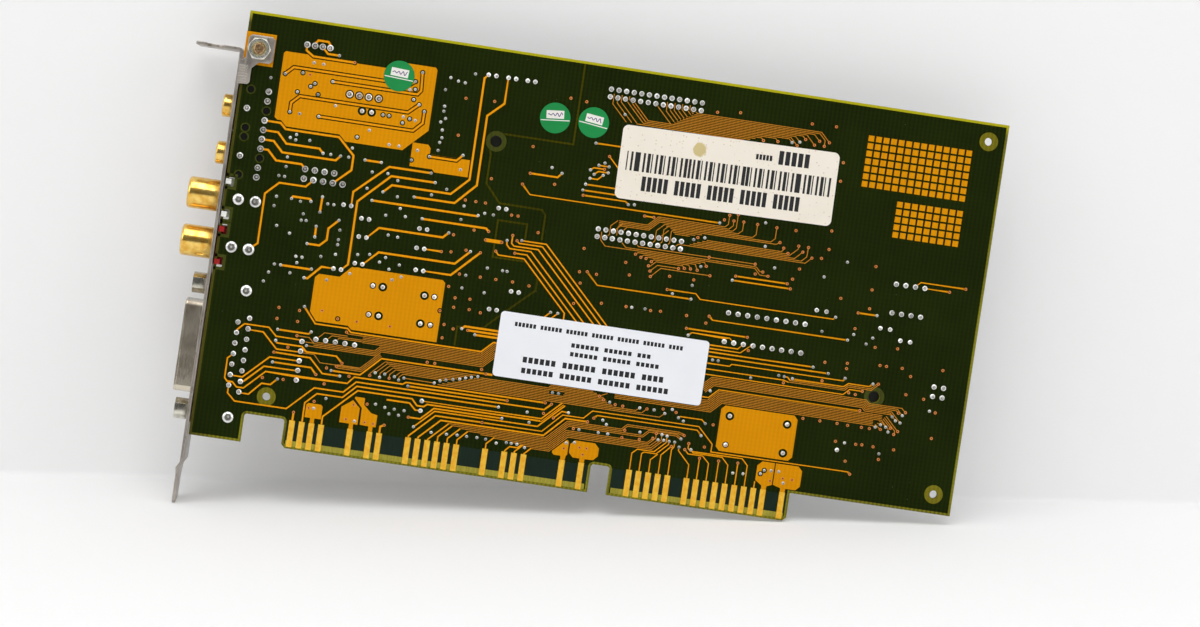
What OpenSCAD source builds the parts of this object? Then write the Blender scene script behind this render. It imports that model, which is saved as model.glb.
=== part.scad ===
// Full-length-bracket sound card for a 16-bit expansion slot, seen first from its solder side.
// The card stands as it does in its slot: +X runs along the card away from the bracket, +Z is up,
// and +Y points from the solder side to the component side. The origin is at the middle of the
// contact tongue's lower edge, in the middle of the laminate.
// Places on the card are given as [x, z], with x counted from the middle of the first contact.

/* [Board] */
// Length of the laminate along the slot
board_len = 200.3; // [198:0.1:204]
// Height of the laminate from the tongue's lower edge
board_h = 111.3; // [110.5:0.1:116]
// Thickness of the laminate
board_t = 1.6; // [1.2:0.1:2.4]
// Distance from the bracket end of the laminate to the first contact
edge_to_contact = 26.1; // [26:0.1:28]
// Height of the contact tongue
tongue_h = 7.5; // [7:0.1:8]
// Width of the notch beside the hold-down foot
foot_notch_w = 10.6; // [9:0.1:10.6]
// Radius of the corners inside the notches
notch_r = 0.8; // [0.3:0.1:1.2]
// Chamfer at the tongue's corners
tongue_chamfer = 1; // [0.3:0.1:1.2]
// Diameter of the tooling holes
tooling_d = 3; // [2.4:0.1:3.2]
// Diameter of the holes for leads
drill_d = 1; // [0.9:0.05:1.1]

/* [Contacts] */
// Distance between neighbouring contacts
contact_pitch = 2.54; // [2.5:0.01:2.58]
// Width of one contact
contact_w = 1.5; // [1:0.1:1.8]
// Height of one contact
contact_h = 7; // [5:0.1:7]
// Distance from the tongue's lower edge to the contacts
contact_rise = 0.45; // [0.2:0.05:0.5]
// Distance from the last contact of the long section to the first of the short one
section_gap = 10.16; // [10:0.02:10.3]
// Laminate beyond the outer contacts
tongue_margin = 2; // [1.4:0.1:2.4]
// Width of the key notch between the two sections
key_w = 5; // [4:0.1:5.6]

/* [Copper] */
// Thickness of the copper and its mask
copper_t = 0.07; // [0.04:0.01:0.12]
// Width of an ordinary track
track_w = 0.55; // [0.3:0.05:0.7]
// Width of a fine track in a bundle
fine_w = 0.2; // [0.12:0.02:0.26]
// Distance between neighbouring tracks in a bundle
fine_pitch = 0.42; // [0.36:0.02:0.5]
// Width of the bare gap round an isolated track
clearance_w = 0.3; // [0.2:0.05:0.4]
// Diameter of a copper pad under a lead
pad_d = 1.7; // [1.4:0.05:1.8]
// Diameter of a small plated through hole
via_d = 0.8; // [0.5:0.05:1]
// Height of a solder joint
joint_h = 0.9; // [0.5:0.1:1.4]

/* [Bracket] */
// Thickness of the bracket's sheet
bracket_t = 0.86; // [0.7:0.02:1]
// Width of the bracket
bracket_w = 18.42; // [18:0.02:19]
// Height of the bracket from its tip to the top of its tab
bracket_h = 120; // [119:0.1:121]
// Height of the tab's upper face above the tongue's lower edge
tab_top = 101.4; // [101:0.1:102]
// Reach of the tab past the plate
tab_len = 11.4; // [10.5:0.1:12]
// Width of the screw notch in the tab
tab_notch_w = 4.4; // [4:0.1:5]
// Gap between the bracket and the laminate's end
bracket_gap = 0.34; // [0.1:0.02:0.5]
// Width of the narrow tip
tip_w = 10.2; // [9:0.1:11]
// Height of the narrow tip
tip_h = 9.6; // [8:0.1:11]
// Offset of the tip away from the card
tip_offset = 0.9; // [0.6:0.1:1.2]
// Diameter of the bracket screw
screw_d = 3; // [2.9:0.1:3]
// Width of the nut across its flats
nut_af = 5.5; // [5:0.1:5.6]

/* [Connectors] */
// Height of the upper headphone jack above the tongue's lower edge
jack_z = 86.1; // [86:0.1:86.5]
// Distance between the two headphone jacks
jack_pitch = 12.4; // [12.3:0.1:12.6]
// Outer diameter of a jack's ferrule
ferrule_d = 6; // [5.6:0.1:6.4]
// Reach of a ferrule past the bracket
ferrule_reach = 2.8; // [2:0.1:4]
// Bore of a headphone jack
jack_bore_d = 3.6; // [3.5:0.05:3.8]
// Height of the upper phono socket
phono_z = 62.35; // [62:0.05:62.6]
// Distance between the two phono sockets
phono_pitch = 12.5; // [12.4:0.1:12.8]
// Outer diameter of a phono socket's shell
phono_d = 8.3; // [8.1:0.1:8.5]
// Reach of a phono socket past the bracket
phono_reach = 8.5; // [7:0.1:10]
// Height of the game port's middle
port_z = 22.5; // [22.3:0.1:22.7]
// Length of the game port's shell
port_len = 25; // [24.6:0.1:25.2]
// Height of the game port's shell, across the card
port_deep = 8.3; // [8:0.1:8.8]
// Reach of the game port past the bracket
port_reach = 4.8; // [4:0.1:6]
// Distance between the jackscrews
jackscrew_span = 33.3; // [33:0.1:33.6]
// Width of a jackscrew across its flats
jackscrew_af = 4.76; // [4.5:0.02:5]

/* [Labels] */
// Length of the printed barcode label
barcode_len = 57.2; // [50:0.1:60]
// Width of the printed barcode label
barcode_w = 19.3; // [15:0.1:20]
// Length of the plain label
label_len = 55.1; // [50:0.1:56]
// Width of the plain label
label_w = 17.1; // [14:0.1:18]
// Diameter of the round stickers
sticker_d = 8; // [6:0.1:8.4]
// Thickness of the label paper
paper_t = 0.1; // [0.06:0.01:0.15]

/* [Hidden] */

$fn = 32;
contacts_long = 31;
contacts_short = 18;
long_span = (contacts_long - 1) * contact_pitch;
short_start = long_span + section_gap;
contact_span = short_start + (contacts_short - 1) * contact_pitch;
back_y = -board_t / 2;
front_y = board_t / 2;
edge_x = -edge_to_contact;
far_x = edge_x + board_len;
tongue_start = -tongue_margin;
tongue_end = contact_span + tongue_margin;
key_x = long_span + section_gap / 2;
foot_end = tongue_start - foot_notch_w;
plate_x = edge_x - bracket_gap;
plate_out_x = plate_x - bracket_t;
ear_y = back_y - copper_t;
bracket_y = ear_y - bracket_t;
bracket_mid_y = bracket_y + bracket_w / 2;
port_y = bracket_mid_y;

// Places with a drilled hole, a copper pad and a solder joint
jack_rows = [jack_z, jack_z - jack_pitch];
phono_rows = [phono_z, phono_z - phono_pitch];
jack_back_x = -18.4;
jack_front_x = -23.4;
jack_pin_dz = [5, 2.5, -2.5, -5];
peg_d = 1.9;
jack_pegs = [for (z = jack_rows) each [[-23.1, z + 5], [-23.1, z - 5], [-18.3, z]]];
jack_pins = [for (z = jack_rows) each concat([[jack_front_x, z]],
    [for (d = jack_pin_dz) [jack_back_x, z + d]])];
phono_blade_x = -22.2;
phono_pin_x = -17.7;
phono_pins = [for (z = phono_rows) each [[phono_blade_x, z], [phono_pin_x, z]]];
port_pitch = 2.77;
port_row_x = [-14.8, -17.65];
port_pins = [for (r = [0, 1]) for (i = [0:7 - r])
    [port_row_x[r], port_z + (3.5 - r / 2 - i) * port_pitch]];
port_lock_x = -16.7;
port_locks = [for (s = [1, -1]) [port_lock_x, port_z + s * jackscrew_span / 2]];
audio_pins = concat([for (i = [0:3]) [-10.3 + 2 * i, 104.7]]);
memory_x = 69.5;
memory_pitch = 2;
memory_upper = [for (i = [0:12]) for (z = [105.1, 103.1]) [memory_x + memory_pitch * i, z]];
memory_lower = [for (i = [1:12]) for (z = [68.6, 66.6]) [memory_x + memory_pitch * i, z]];
header_pitch = 2.54;
audio_header = concat([for (i = [0:3]) [-6.2 + header_pitch * i, 72.7]],
    [for (i = [0:4]) [-6.2 + header_pitch * i, 70.16]]);
right_header_mid = [far_x - 8, 39.33];
right_header = [for (x = [-1, 1]) for (z = [1, -1]) right_header_mid + header_pitch / 2 * [x, z]];
network_column = [for (i = [0:4]) [-0.5, 28.2 - header_pitch * i]];
network_row = [for (i = [0:4]) [3 + header_pitch * i, 29.3]];
dip_row = 7.62;
long_dip = [for (i = [0:8]) for (z = [0, dip_row]) [108.5 + header_pitch * i, 44.3 + z]];
short_dip = [for (i = [0:3]) for (z = [0, dip_row]) [151 + header_pitch * i, 58.2 + z]];
can_pitch = 15.24;
oscillators = [[112.9, 17.6]];
oscillator_pins = [for (p = oscillators) for (x = [0, can_pitch]) for (z = [0, dip_row])
    [p[0] + x, p[1] + z]];
small_caps = [[46, 70.1], [52.4, 49.1], [47.4, 43.7], [11.1, 62.2], [11.1, 57.4], [11.1, 50.4],
    [26.4, 61.8], [26.4, 56.7], [27, 51], [6, 65], [5.8, 48.2], [38.35, 104], [43.55, 104],
    [48.6, 104]];
small_cap_d = 4.7;
small_cap_gap = 2;
large_caps = [[149.9, 53.8], [155.6, 51.3], [132.6, 56], [16.9, 45.3], [30.55, 44.7], [16.9, 37.7],
    [30.55, 37.3]];
large_cap_d = 6;
large_cap_gap = 2.6;
turned_caps = [[32.6, 16.1]];
turned_cap_gap = 2.6;
cap_pins = concat(
    [for (c = small_caps) for (s = [-1, 1]) [c[0] + s * small_cap_gap / 2, c[1]]],
    [for (c = turned_caps) for (s = [-1, 1]) [c[0], c[1] + s * turned_cap_gap / 2]],
    [for (c = large_caps) for (s = [-1, 1]) [c[0] + s * large_cap_gap / 2, c[1]]]);
spare_pins = [[142.1, 20.5], [2.4, 93.6], [4.9, 93.6], [7.4, 93.6], [10, 93.6], [6.2, 89.8],
    [8.7, 89.8]];
pins = concat(jack_pins, port_pins, audio_pins, memory_upper, memory_lower, audio_header,
    right_header, network_column, network_row, long_dip, short_dip, oscillator_pins, cap_pins,
    spare_pins);
big_pins = concat(phono_pins, port_locks);
big_drill_d = 2;
big_pad_d = 2.9;
screw_at = [-22.3, 101.7];
tooling_open = [[-7.6, 12.6], [far_x - 4.8, 106.3], [far_x - 5.1, 12.6]];
tooling_covered = [[41.8, 87.2], [far_x - 24.5, 35.7]];

// Shapes drawn flat as [x, z] and raised from the solder side or the component side
module on_back(t, lift = 0) {
    translate([-contact_span / 2, back_y - lift, 0]) rotate([90, 0, 0]) linear_extrude(t) children();
}
module on_front(t, lift = 0) {
    translate([-contact_span / 2, front_y + lift + t, 0]) rotate([90, 0, 0]) linear_extrude(t)
        children();
}
// A shape drawn flat as [x, z] that runs through the card from one y to another
module through(y0, y1) {
    translate([-contact_span / 2, y1, 0]) rotate([90, 0, 0]) linear_extrude(y1 - y0) children();
}
module at(places) {
    for (p = places) translate(p) children();
}
// A body placed by its [x, z] place and its height y
module put(p, y = 0) {
    translate([p[0] - contact_span / 2, y, p[1]]) children();
}
module rounded(w, h, r) {
    translate([-w / 2, -h / 2 + r]) square([w, h - 2 * r]);
    translate([-w / 2 + r, -h / 2]) square([w - 2 * r, h]);
    for (x = [-1, 1]) for (y = [-1, 1]) translate([x * (w / 2 - r), y * (h / 2 - r)]) circle(r);
}

// A track's outline runs beside its centre line, with mitred corners
function unit(v) = v / norm(v);
function normal(v) = [-v[1], v[0]];
function beside(p, i, d) =
    let (last = len(p) - 1,
        n1 = normal(unit(i == 0 ? p[1] - p[0] : p[i] - p[i - 1])),
        n2 = normal(unit(i == last ? p[last] - p[last - 1] : p[i + 1] - p[i])),
        m = n1 + n2)
    p[i] + m * (2 * d / (m * m));
function shifted(p, d) = [for (i = [0:len(p) - 1]) beside(p, i, d)];
module track(p, w) {
    left = shifted(p, w / 2);
    right = shifted(p, -w / 2);
    polygon(concat(left, [for (i = [len(right) - 1:-1:0]) right[i]]));
}
module tracks(list, w) {
    for (p = list) track(p, w);
}
// A bundle of n fine tracks side by side along one centre line
module bundle(p, n) {
    for (i = [0:n - 1]) track(shifted(p, (i - (n - 1) / 2) * fine_pitch), fine_w);
}

// The laminate: four layers pressed together, routed to its outline and drilled
module board_outline() {
    polygon([[edge_x, 0], [foot_end, 0], [foot_end, tongue_h], [tongue_start, tongue_h],
        [tongue_start, tongue_chamfer], [tongue_start + tongue_chamfer, 0],
        [tongue_end - tongue_chamfer, 0], [tongue_end, tongue_chamfer], [tongue_end, tongue_h],
        [far_x, tongue_h], [far_x, board_h], [edge_x, board_h]]);
}
phono_notch = 2.6;
phono_notch_deep = 2.2;
phono_leg = 1.4;
phono_leg_dz = 4.3;
module board_cuts() {
    translate([foot_end + notch_r, tongue_h - 1]) square([foot_notch_w - 2 * notch_r, 1.4]);
    at([[foot_end + notch_r, tongue_h], [tongue_start - notch_r, tongue_h]]) circle(0.4);
    translate([key_x - key_w / 2, -1]) square([key_w, tongue_h + 1 - notch_r]);
    translate([key_x, tongue_h - notch_r]) rounded(key_w, 2 * notch_r, notch_r * 0.99);
    translate([key_x, tongue_h]) circle(0.5);
    for (z = phono_rows) for (s = [-1, 1])
        translate([edge_x, z + s * phono_leg_dz]) rounded(2 * phono_notch_deep, phono_notch, 0.4);
    at(concat(tooling_open, tooling_covered)) circle(d = tooling_d);
    at(jack_pegs) circle(d = peg_d);
    at([screw_at]) circle(d = screw_d + 0.2);
    at(pins) circle(d = drill_d);
    at(big_pins) circle(d = big_drill_d);
}
module circuit_board() {
    color([0.15, 0.19, 0.07]) through(back_y, front_y) difference() {
        board_outline();
        board_cuts();
    }
}

// Areas of copper on the solder side, under the green mask
amplifier_area = [[-16, 101.7], [-15.5, 102.2], [3.1, 102.2], [3.3, 101.8], [11, 101.8], [13.3, 103.8],
    [23.5, 103.8], [24, 103.2], [24, 87.3],
    [18, 81.3], [3, 81.3], [1.3, 82.9], [-12.7, 82.9], [-14.2, 84.3], [-15.2, 84.3], [-16, 84.9]];
supply_area = [[20.4, 83.7], [24.5, 83.7], [25.2, 82.9], [25.2, 81.3], [35.8, 81.3], [35.8, 76.8],
    [27, 76.8], [26.4, 77.5], [20.4, 77.5]];
clock_area = [[0.4, 36.3], [2.3, 34], [10.7, 34], [11.7, 33.1], [34.1, 33.1], [34.1, 48.7],
    [33.4, 49.4], [9.6, 49.4], [6.7, 46.3], [1.3, 46.3], [0.4, 45.3]];
bus_clock_area = [[111.4, 15.8], [129.7, 15.8], [130.7, 16.8], [130.7, 26.8], [129.7, 27.8],
    [111.4, 27.8], [110.4, 26.8], [110.4, 16.8]];
inner_tracks = [
    [[-14.9, 96.4], [-12.9, 98.4], [17.5, 98.4], [18.8, 99.4]],
    [[-2.4, 96.2], [19.8, 96.2], [20.6, 97.3], [20.3, 102]],
    [[-12.3, 86.8], [-12.3, 89.2], [-10.3, 91.2], [18, 91.2], [20.6, 93.6]],
    [[-4.7, 86.7], [20, 86.7], [22.2, 89], [22.2, 92]],
    [[25.2, 80.7], [32.3, 80.7], [33.8, 82.3]]];
// Small holes through the card. Tinned ones are open in the mask and shine, masked ones look
// like copper; an isolated one has a bare ring round it in its copper area
isolated_tinned = [[-10.4, 97.3], [-7.9, 94.1], [-6.9, 95], [-11.1, 92.2], [-5.7, 92.3],
    [19, 94.7], [18.7, 89.6], [17, 88.3], [5.9, 82.9], [20.7, 79.1], [19, 97.4], [11.7, 89.6],
    [13.3, 89.6], [124, 12.4], [123.1, 11.4]];
isolated_masked = [[7.8, 35.4], [33.8, 41.4]];
area_tinned = [[-0.8, 90.1], [-9.7, 86.7], [8.8, 85.1], [17, 89.9], [20.2, 89.4], [14.4, 82.2],
    [17, 82.2], [-7.9, 100.3], [-5.4, 100.3], [17.65, 97.1], [21.9, 81.8], [33.7, 78.5],
    [9.2, 47.5], [3.5, 45], [20.3, 47.5], [22.5, 48.6], [5, 11.4], [16, 9.6], [125.8, 12.6],
    [127.8, 12.6], [129.4, 9.8], [71.5, 12], [73.6, 12.4]];
area_masked = [[3.5, 36.9], [12.8, 35.4], [21.5, 35.4], [3.7, 11.3], [13.7, 9.8], [15.2, 13.8],
    [18.7, 9.7], [20.9, 9.6], [75.1, 11.3], [77, 11.3], [76.2, 9.6], [-8.5, 97.1], [129.1, 11],
    [131.6, 11], [125.9, 9.9], [71.1, 10.5]];
tinned_at = [[-18.4, 94.8], [-11.2, 80.2], [-9.7, 81.2], [-9.7, 79.8], [-6.1, 80.2],
    [5.1, 79.9], [-11.2, 75.1], [-11.2, 72.6], [-12.7, 70], [-11.2, 70], [11.1, 74.5],
    [15.2, 74.7], [18, 73.3], [10.4, 70.1], [18.5, 69.1], [19.7, 66.2], [-12.5, 64.6],
    [-6.2, 64.2], [0.9, 64.6], [2.5, 64.6], [16.2, 63.9], [21.3, 64.3], [-12.8, 62.1],
    [-5, 61.1], [-5.3, 59.4], [-4, 59.5], [5, 58.3], [5, 55.8], [5, 54.5], [4.8, 51.9],
    [17.6, 58.9], [20.1, 58.7], [-11.4, 57.1], [-7.8, 55.6], [1.1, 50.8], [13.6, 53.2],
    [17.8, 53], [10.5, 52.7], [16.4, 51.6], [21.6, 51.6], [19.1, 50.1], [-5.3, 49.9],
    [-3.7, 49.9], [-4.8, 48.3], [-10.5, 47.1], [-11.7, 44.8], [-6.2, 45.4], [-12.7, 42.3],
    [30.9, 72.9], [27.2, 70.9], [36, 69.3], [41.6, 68.2], [43.9, 68.1], [35.7, 65.7],
    [44.4, 54.2], [48.4, 54.1], [49.6, 54.1], [39.1, 51.5], [38.6, 48.1], [44.5, 47.7],
    [99.4, 70.4], [96.6, 69.5], [115.4, 70.5], [118.7, 65.3], [99.5, 62.8], [98, 57.6],
    [93.2, 54.7], [83.2, 49.6], [86.7, 49.7], [106.2, 39.1], [107.7, 39.1], [137.4, 69.6],
    [131.9, 64.9], [133.5, 50.7], [141.9, 51.1], [147, 50.9], [145.5, 49.1], [27.7, 101.8],
    [29.8, 101.2], [31.6, 101], [33.9, 103.7], [26.8, 98.5], [27.2, 94.2], [27.2, 92.9],
    [27.9, 91.1], [26.8, 90], [27.5, 88], [27.7, 86], [27.3, 84.7], [27.2, 82.6],
    [57.2, 82.6], [70.7, 85.8], [74, 99.1], [118.3, 98.4], [120.3, 98.8], [79.9, 76.2],
    [114.6, 76.6], [7.8, 14.4], [20.8, 14.8], [19.5, 22.9], [22, 22.9], [20.8, 21.9],
    [24.6, 22.6], [25.8, 21.9], [27.1, 22.6], [36.5, 23.3], [38, 23.7], [39.8, 24.1],
    [41.5, 24.5], [43, 25], [44.5, 25.4], [46.1, 25.8], [60.2, 18.5], [61.1, 15.9],
    [23.3, 14.3], [25.8, 14.2], [28.4, 14.2], [24.6, 12.8], [27.1, 12.8], [36.2, 9.6],
    [40.2, 9.7], [43, 9.9], [45.5, 9.9], [48.2, 10], [50.5, 9.9], [53.4, 9.3], [56, 9.8],
    [57.3, 9.8], [58.8, 9.8], [60.9, 9.2], [66, 24.5], [67.6, 24.5], [106.8, 31],
    [116.8, 35.9], [81.2, 24.2], [93, 23.9], [97.7, 24.7], [101, 22.1], [80.1, 19.3],
    [81.2, 18.3], [90.2, 17.6], [74.3, 15.9], [79.4, 15.9], [81.9, 15.9], [115.9, 10.5],
    [118.6, 10.7], [124, 37.6], [143.8, 22.6], [153.2, 21.1], [164.7, 34.1], [26.3, 76.5],
    [-0.2, 77.4], [4.5, 77.4]];
masked_at = [[36.1, 70.9], [38.9, 70.9], [41.4, 70.9], [48.6, 68.8], [50.3, 68.8],
    [56.1, 65.3], [39.5, 63.5], [34.4, 61.5], [38.2, 58], [34.4, 57], [37.4, 51.6],
    [42.9, 51.6], [47, 51.6], [51.4, 51.6], [55.8, 51.2], [35.1, 48], [37.2, 45.3],
    [41.1, 45.5], [37.2, 42.8], [41.3, 42.8], [44.3, 42.4], [68, 48.4], [68.9, 53.9],
    [68.3, 56.8], [72.8, 56.8], [68.6, 63], [103.8, 75.8], [97.6, 70.2], [101.3, 65.55],
    [113.9, 63], [91.8, 59.1], [98.2, 59.1], [79.9, 61], [81.3, 57.9], [103, 48.4],
    [75.2, 49.5], [81.7, 49.6], [88.2, 49.5], [90.8, 49.7], [97.7, 49.6], [115.1, 42.9],
    [122.8, 75.8], [132.1, 72.2], [130.5, 69.6], [145, 69.6], [125.2, 66], [144.9, 63.4],
    [123.8, 63.1], [137.1, 60], [145, 58.4], [142, 52.7], [148, 48.6], [153.9, 49.1],
    [150, 44.1], [151.7, 44.1], [155.9, 44.2], [166.6, 45.2], [158.4, 42.4], [135.5, 42.8],
    [141.4, 43.4], [141.4, 42], [32.4, 97.1], [39.9, 97.4], [59.4, 101.2], [63.6, 100.9],
    [31.8, 87.3], [51.5, 87.3], [58.5, 78.4], [42, 77.4], [97.8, 103.3], [103.8, 104.1],
    [122.8, 104], [129.2, 104.2], [132.4, 95.2], [132.4, 90.3], [132.1, 77.1],
    [-7.7, 36.1], [-2.3, 36.1], [-7.8, 33.2], [-2.4, 33.2], [-3.9, 26.2], [6.8, 22.3],
    [12.9, 21], [6.8, 18.1], [-9.3, 17.4], [-3.9, 17.7], [4.9, 13.2], [18.6, 14.5],
    [35.4, 38], [37.9, 37.2], [35.4, 34.5], [32.5, 27.6], [34.5, 27.6], [64.5, 18.8],
    [67.2, 18], [49, 14.1], [72.8, 16], [78.3, 25.4], [79.5, 24.6], [82.7, 23.8],
    [84.7, 23.7], [95.3, 24.5], [98.8, 24.1], [108.9, 22.3], [86.2, 17.5], [85.7, 15.5],
    [90.3, 15.7], [107.5, 16.2], [135.5, 37.9], [125.5, 35.9], [142.9, 35.8], [144.7, 35.6],
    [132, 27.4], [136.5, 27.4], [141.1, 27.4], [143.9, 27.3], [147.6, 27.3], [149.7, 27.3],
    [141.4, 22.7], [146.8, 22.7], [148.4, 22.8], [151.4, 22.7], [156.9, 22.7], [153.3, 19.6],
    [144.7, 17.9], [166.3, 27.1], [166.3, 33.9], [162.7, 37], [157.9, 37.5]];
inner_ends = [for (p = inner_tracks) each [p[0], p[len(p) - 1]]];
plain_pins = [[15.6, 45.3], [31.85, 44.7], [15.6, 37.7], [31.85, 37.3], [112.9, 17.6]];
screw_pad = [7.8, 8.4];
field_at = [138, 89.8];
field_pitch = 2;
field_square = 1.5;
field_nx = 14;
field_nz = 7;
small_field_at = [148, 77.8];
small_field_nx = 9;
small_field_nz = 5;
module contact_pads() {
    polygon([[3, 8.8], [4.5, 8.8], [4.5, 7.45], [5.6, 7.45], [5.6, 8.8], [7.3, 8.8], [7.3, 12.1],
        [6.8, 12.6], [3.5, 12.6], [3, 12.1]]);
    polygon([[14.7, 7.45], [15.8, 7.45], [15.8, 8.8], [16.9, 8.8], [16.9, 13.1], [14.9, 15],
        [12.1, 12.9], [12.1, 8.8], [14.7, 8.8]]);
    polygon([[19.8, 7.45], [20.9, 7.45], [20.9, 8.8], [21.7, 8.8], [21.7, 12], [20, 12.3],
        [17.9, 14.2], [17.9, 15.8], [17.6, 16], [15.4, 16], [15.2, 15.6], [17.4, 13.3],
        [17.5, 8.9], [19.8, 8.8]]);
    polygon([[70.6, 7.45], [71.7, 7.45], [71.9, 8.7], [72.2, 9], [72.2, 12.4], [71.8, 12.8],
        [71.4, 12.7], [68.2, 9.5], [68.2, 9], [68.7, 8.5], [70.5, 8.5]]);
    polygon([[75.6, 7.45], [76.8, 7.45], [76.9, 8.5], [79, 8.5], [80.2, 9.7], [80.2, 11.8],
        [79, 13], [73.7, 13], [72.6, 11.9], [72.6, 9.6], [73.7, 8.5], [75.5, 8.5]]);
    polygon([[123.9, 7.45], [125.1, 7.45], [125.2, 8.4], [126.5, 8.9], [126.5, 14.7], [123.2, 14.7],
        [122, 13.5], [122, 9.6], [123.8, 8.4]]);
    polygon([[128.9, 7.45], [130.1, 7.45], [130.2, 8.4], [132.8, 8.4], [133.9, 9.5], [133.9, 13.6],
        [132.8, 14.7], [126.8, 14.7], [126.8, 9], [128.8, 8.4]]);
}
module copper_areas() {
    color([0.85, 0.56, 0]) on_back(copper_t) {
        difference() {
            union() {
                polygon(amplifier_area);
                polygon(supply_area);
                polygon(clock_area);
                polygon(bus_clock_area);
                contact_pads();
            }
            tracks(inner_tracks, track_w + 2 * clearance_w);
            track(audio_tracks[0], track_w + 2 * clearance_w);
            at(concat(isolated_tinned, isolated_masked)) circle(d = via_d + 2 * clearance_w);
            at(concat(area_tinned, area_masked)) circle(d = via_d);
            at(concat(inner_ends, masked_ends)) circle(d = via_d + 2 * clearance_w);
            at(pins) circle(d = pad_d + 2 * clearance_w);
            at(plain_pins) circle(d = pad_d);
        }
        difference() {
            at(plain_pins) circle(d = pad_d + 2 * clearance_w + 0.2);
            at(plain_pins) circle(d = pad_d);
        }
        // A field of small squares, which holds the mask level over a bare corner
        for (i = [0:field_nx - 1]) for (k = [0:field_nz - 1])
            translate(field_at + field_pitch * [i, k]) square(field_square);
        for (i = [0:small_field_nx - 1]) for (k = [0:small_field_nz - 1])
            translate(small_field_at + field_pitch * [i, k]) square(field_square);
        difference() {
            translate(screw_at) square(screw_pad, center = true);
            translate(screw_at) circle(d = screw_d + 1);
        }
    }
}

// Ordinary tracks, each a list of the points on its centre line
audio_tracks = [
    [[-10.3, 104.3], [-10.3, 103.2], [-8.3, 101.9], [2.5, 101.9]],
    [[-8.3, 104.7], [-8.3, 105.4], [-7.6, 106.2], [-5, 106.2], [-4.3, 105.4], [-4.3, 104.7]],
    [[-6.3, 104.7], [-4.7, 103.1], [-1.7, 103.1]],
    [[-18.4, 83.6], [-14.2, 83.6], [-12.7, 82.2], [1.3, 82.2], [5.7, 78], [5.7, 74.2], [1.4, 70.1]],
    [[-18.4, 81.1], [-14.5, 81.1], [-12, 78.5], [-3.3, 78.5], [-2.2, 77.4]],
    [[-18.4, 78.7], [-15.3, 78.7], [-12.7, 76.1], [1.3, 76.1], [2.4, 77.4]],
    [[-18.4, 76.2], [-16.4, 76.2], [-14, 73.8], [-7.3, 73.8], [-6.2, 72.7]],
    [[-3.7, 70.1], [-5.4, 68.2], [-12.3, 68.2], [-15.6, 64.9], [-15.6, 51.8], [-17.7, 49.9]],
    [[7, 65], [7, 68.7], [15.3, 76.5], [26.3, 76.5]],
    [[6.8, 48.2], [8.4, 49.8], [8.4, 66.4], [16.2, 74.2], [27.7, 74.2]],
    [[14.6, 69.8], [16.7, 71.9], [32.1, 71.9], [36.4, 76.3], [36.4, 103], [37.3, 103.9]],
    [[22.8, 69.7], [33.4, 69.7], [38.5, 75.1], [38.5, 93.4], [42.5, 97.2], [42.5, 104]],
    [[12.1, 67.2], [40, 67.2]],
    [[25.7, 64.4], [42.5, 64.4], [43.3, 63.7]],
    [[12.2, 57.4], [15, 60.4], [31.7, 60.4], [33.1, 61.8]],
    [[12.2, 50.4], [15.8, 54.1], [35.8, 54.1], [39.4, 57.8]],
    [[28.1, 51], [35.2, 51], [42, 57.9]],
    [[27.4, 56.7], [31.9, 56.7]],
    [[8.8, 77.3], [13.1, 77.3]],
    [[-8.6, 64.6], [-8.3, 65.2], [-3.8, 65.2], [-3.5, 64.6]],
    [[-0.7, 66.2], [-0.8, 62.2]],
    [[-1.2, 58.4], [-1.2, 55.6]],
    [[4.4, 60.8], [2, 58.3], [2, 55.3], [0.3, 53.6], [-2.9, 53.6]],
    [[-8.9, 47.1], [-0.8, 47.1]],
    [[-2.4, 44.7], [-1.5, 44.7], [1.7, 48.2], [4.8, 48.2]],
    [[51.8, 80.3], [59, 80.3], [60, 81.5]],
    [[-1.2, 37.3], [2.2, 33.3], [10.7, 33.3], [11.7, 32.4], [46, 32.4], [48.8, 35.2], [49.8, 35.2]]];
processor_tracks = [
    [[50.2, 77.2], [52.5, 74.8], [102.7, 74.8]],
    [[70.3, 57.1], [73.4, 54], [98.2, 54]],
    [[91.7, 55.6], [99.3, 55.6], [100.6, 54.3], [136, 54.3], [136.5, 54.9]],
    [[103.6, 50.3], [104.6, 49.4], [140.5, 49.4]],
    [[98.2, 46.3], [114.3, 46.3]],
    [[98.9, 44.6], [99.8, 45.4], [109.8, 45.4], [111, 44.3]],
    [[108.9, 61.7], [122.6, 61.7]],
    [[108.2, 60.5], [123.6, 60.5]],
    [[104.8, 42.9], [112.3, 42.9], [113.6, 44.3]],
    [[104.8, 42], [113.1, 42], [115.6, 44.3]],
    [[104.8, 41.1], [132.6, 41.1]],
    [[104.8, 40], [136.8, 40]],
    [[104.8, 38.1], [110.8, 38.1], [111.4, 38.7], [141, 38.7], [141.4, 39.4]],
    [[127.7, 37.2], [141.3, 37.2], [142.5, 38.2], [148, 38.2], [148.9, 39]],
    [[142.2, 56.9], [147.2, 56.9]],
    [[156.4, 66.2], [157.4, 67.2], [169.3, 67.2]],
    [[158.6, 65.8], [165.2, 65.8]],
    [[104.8, 29.2], [106.6, 29.2], [109, 31.6], [146.5, 31.6]]];
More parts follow.
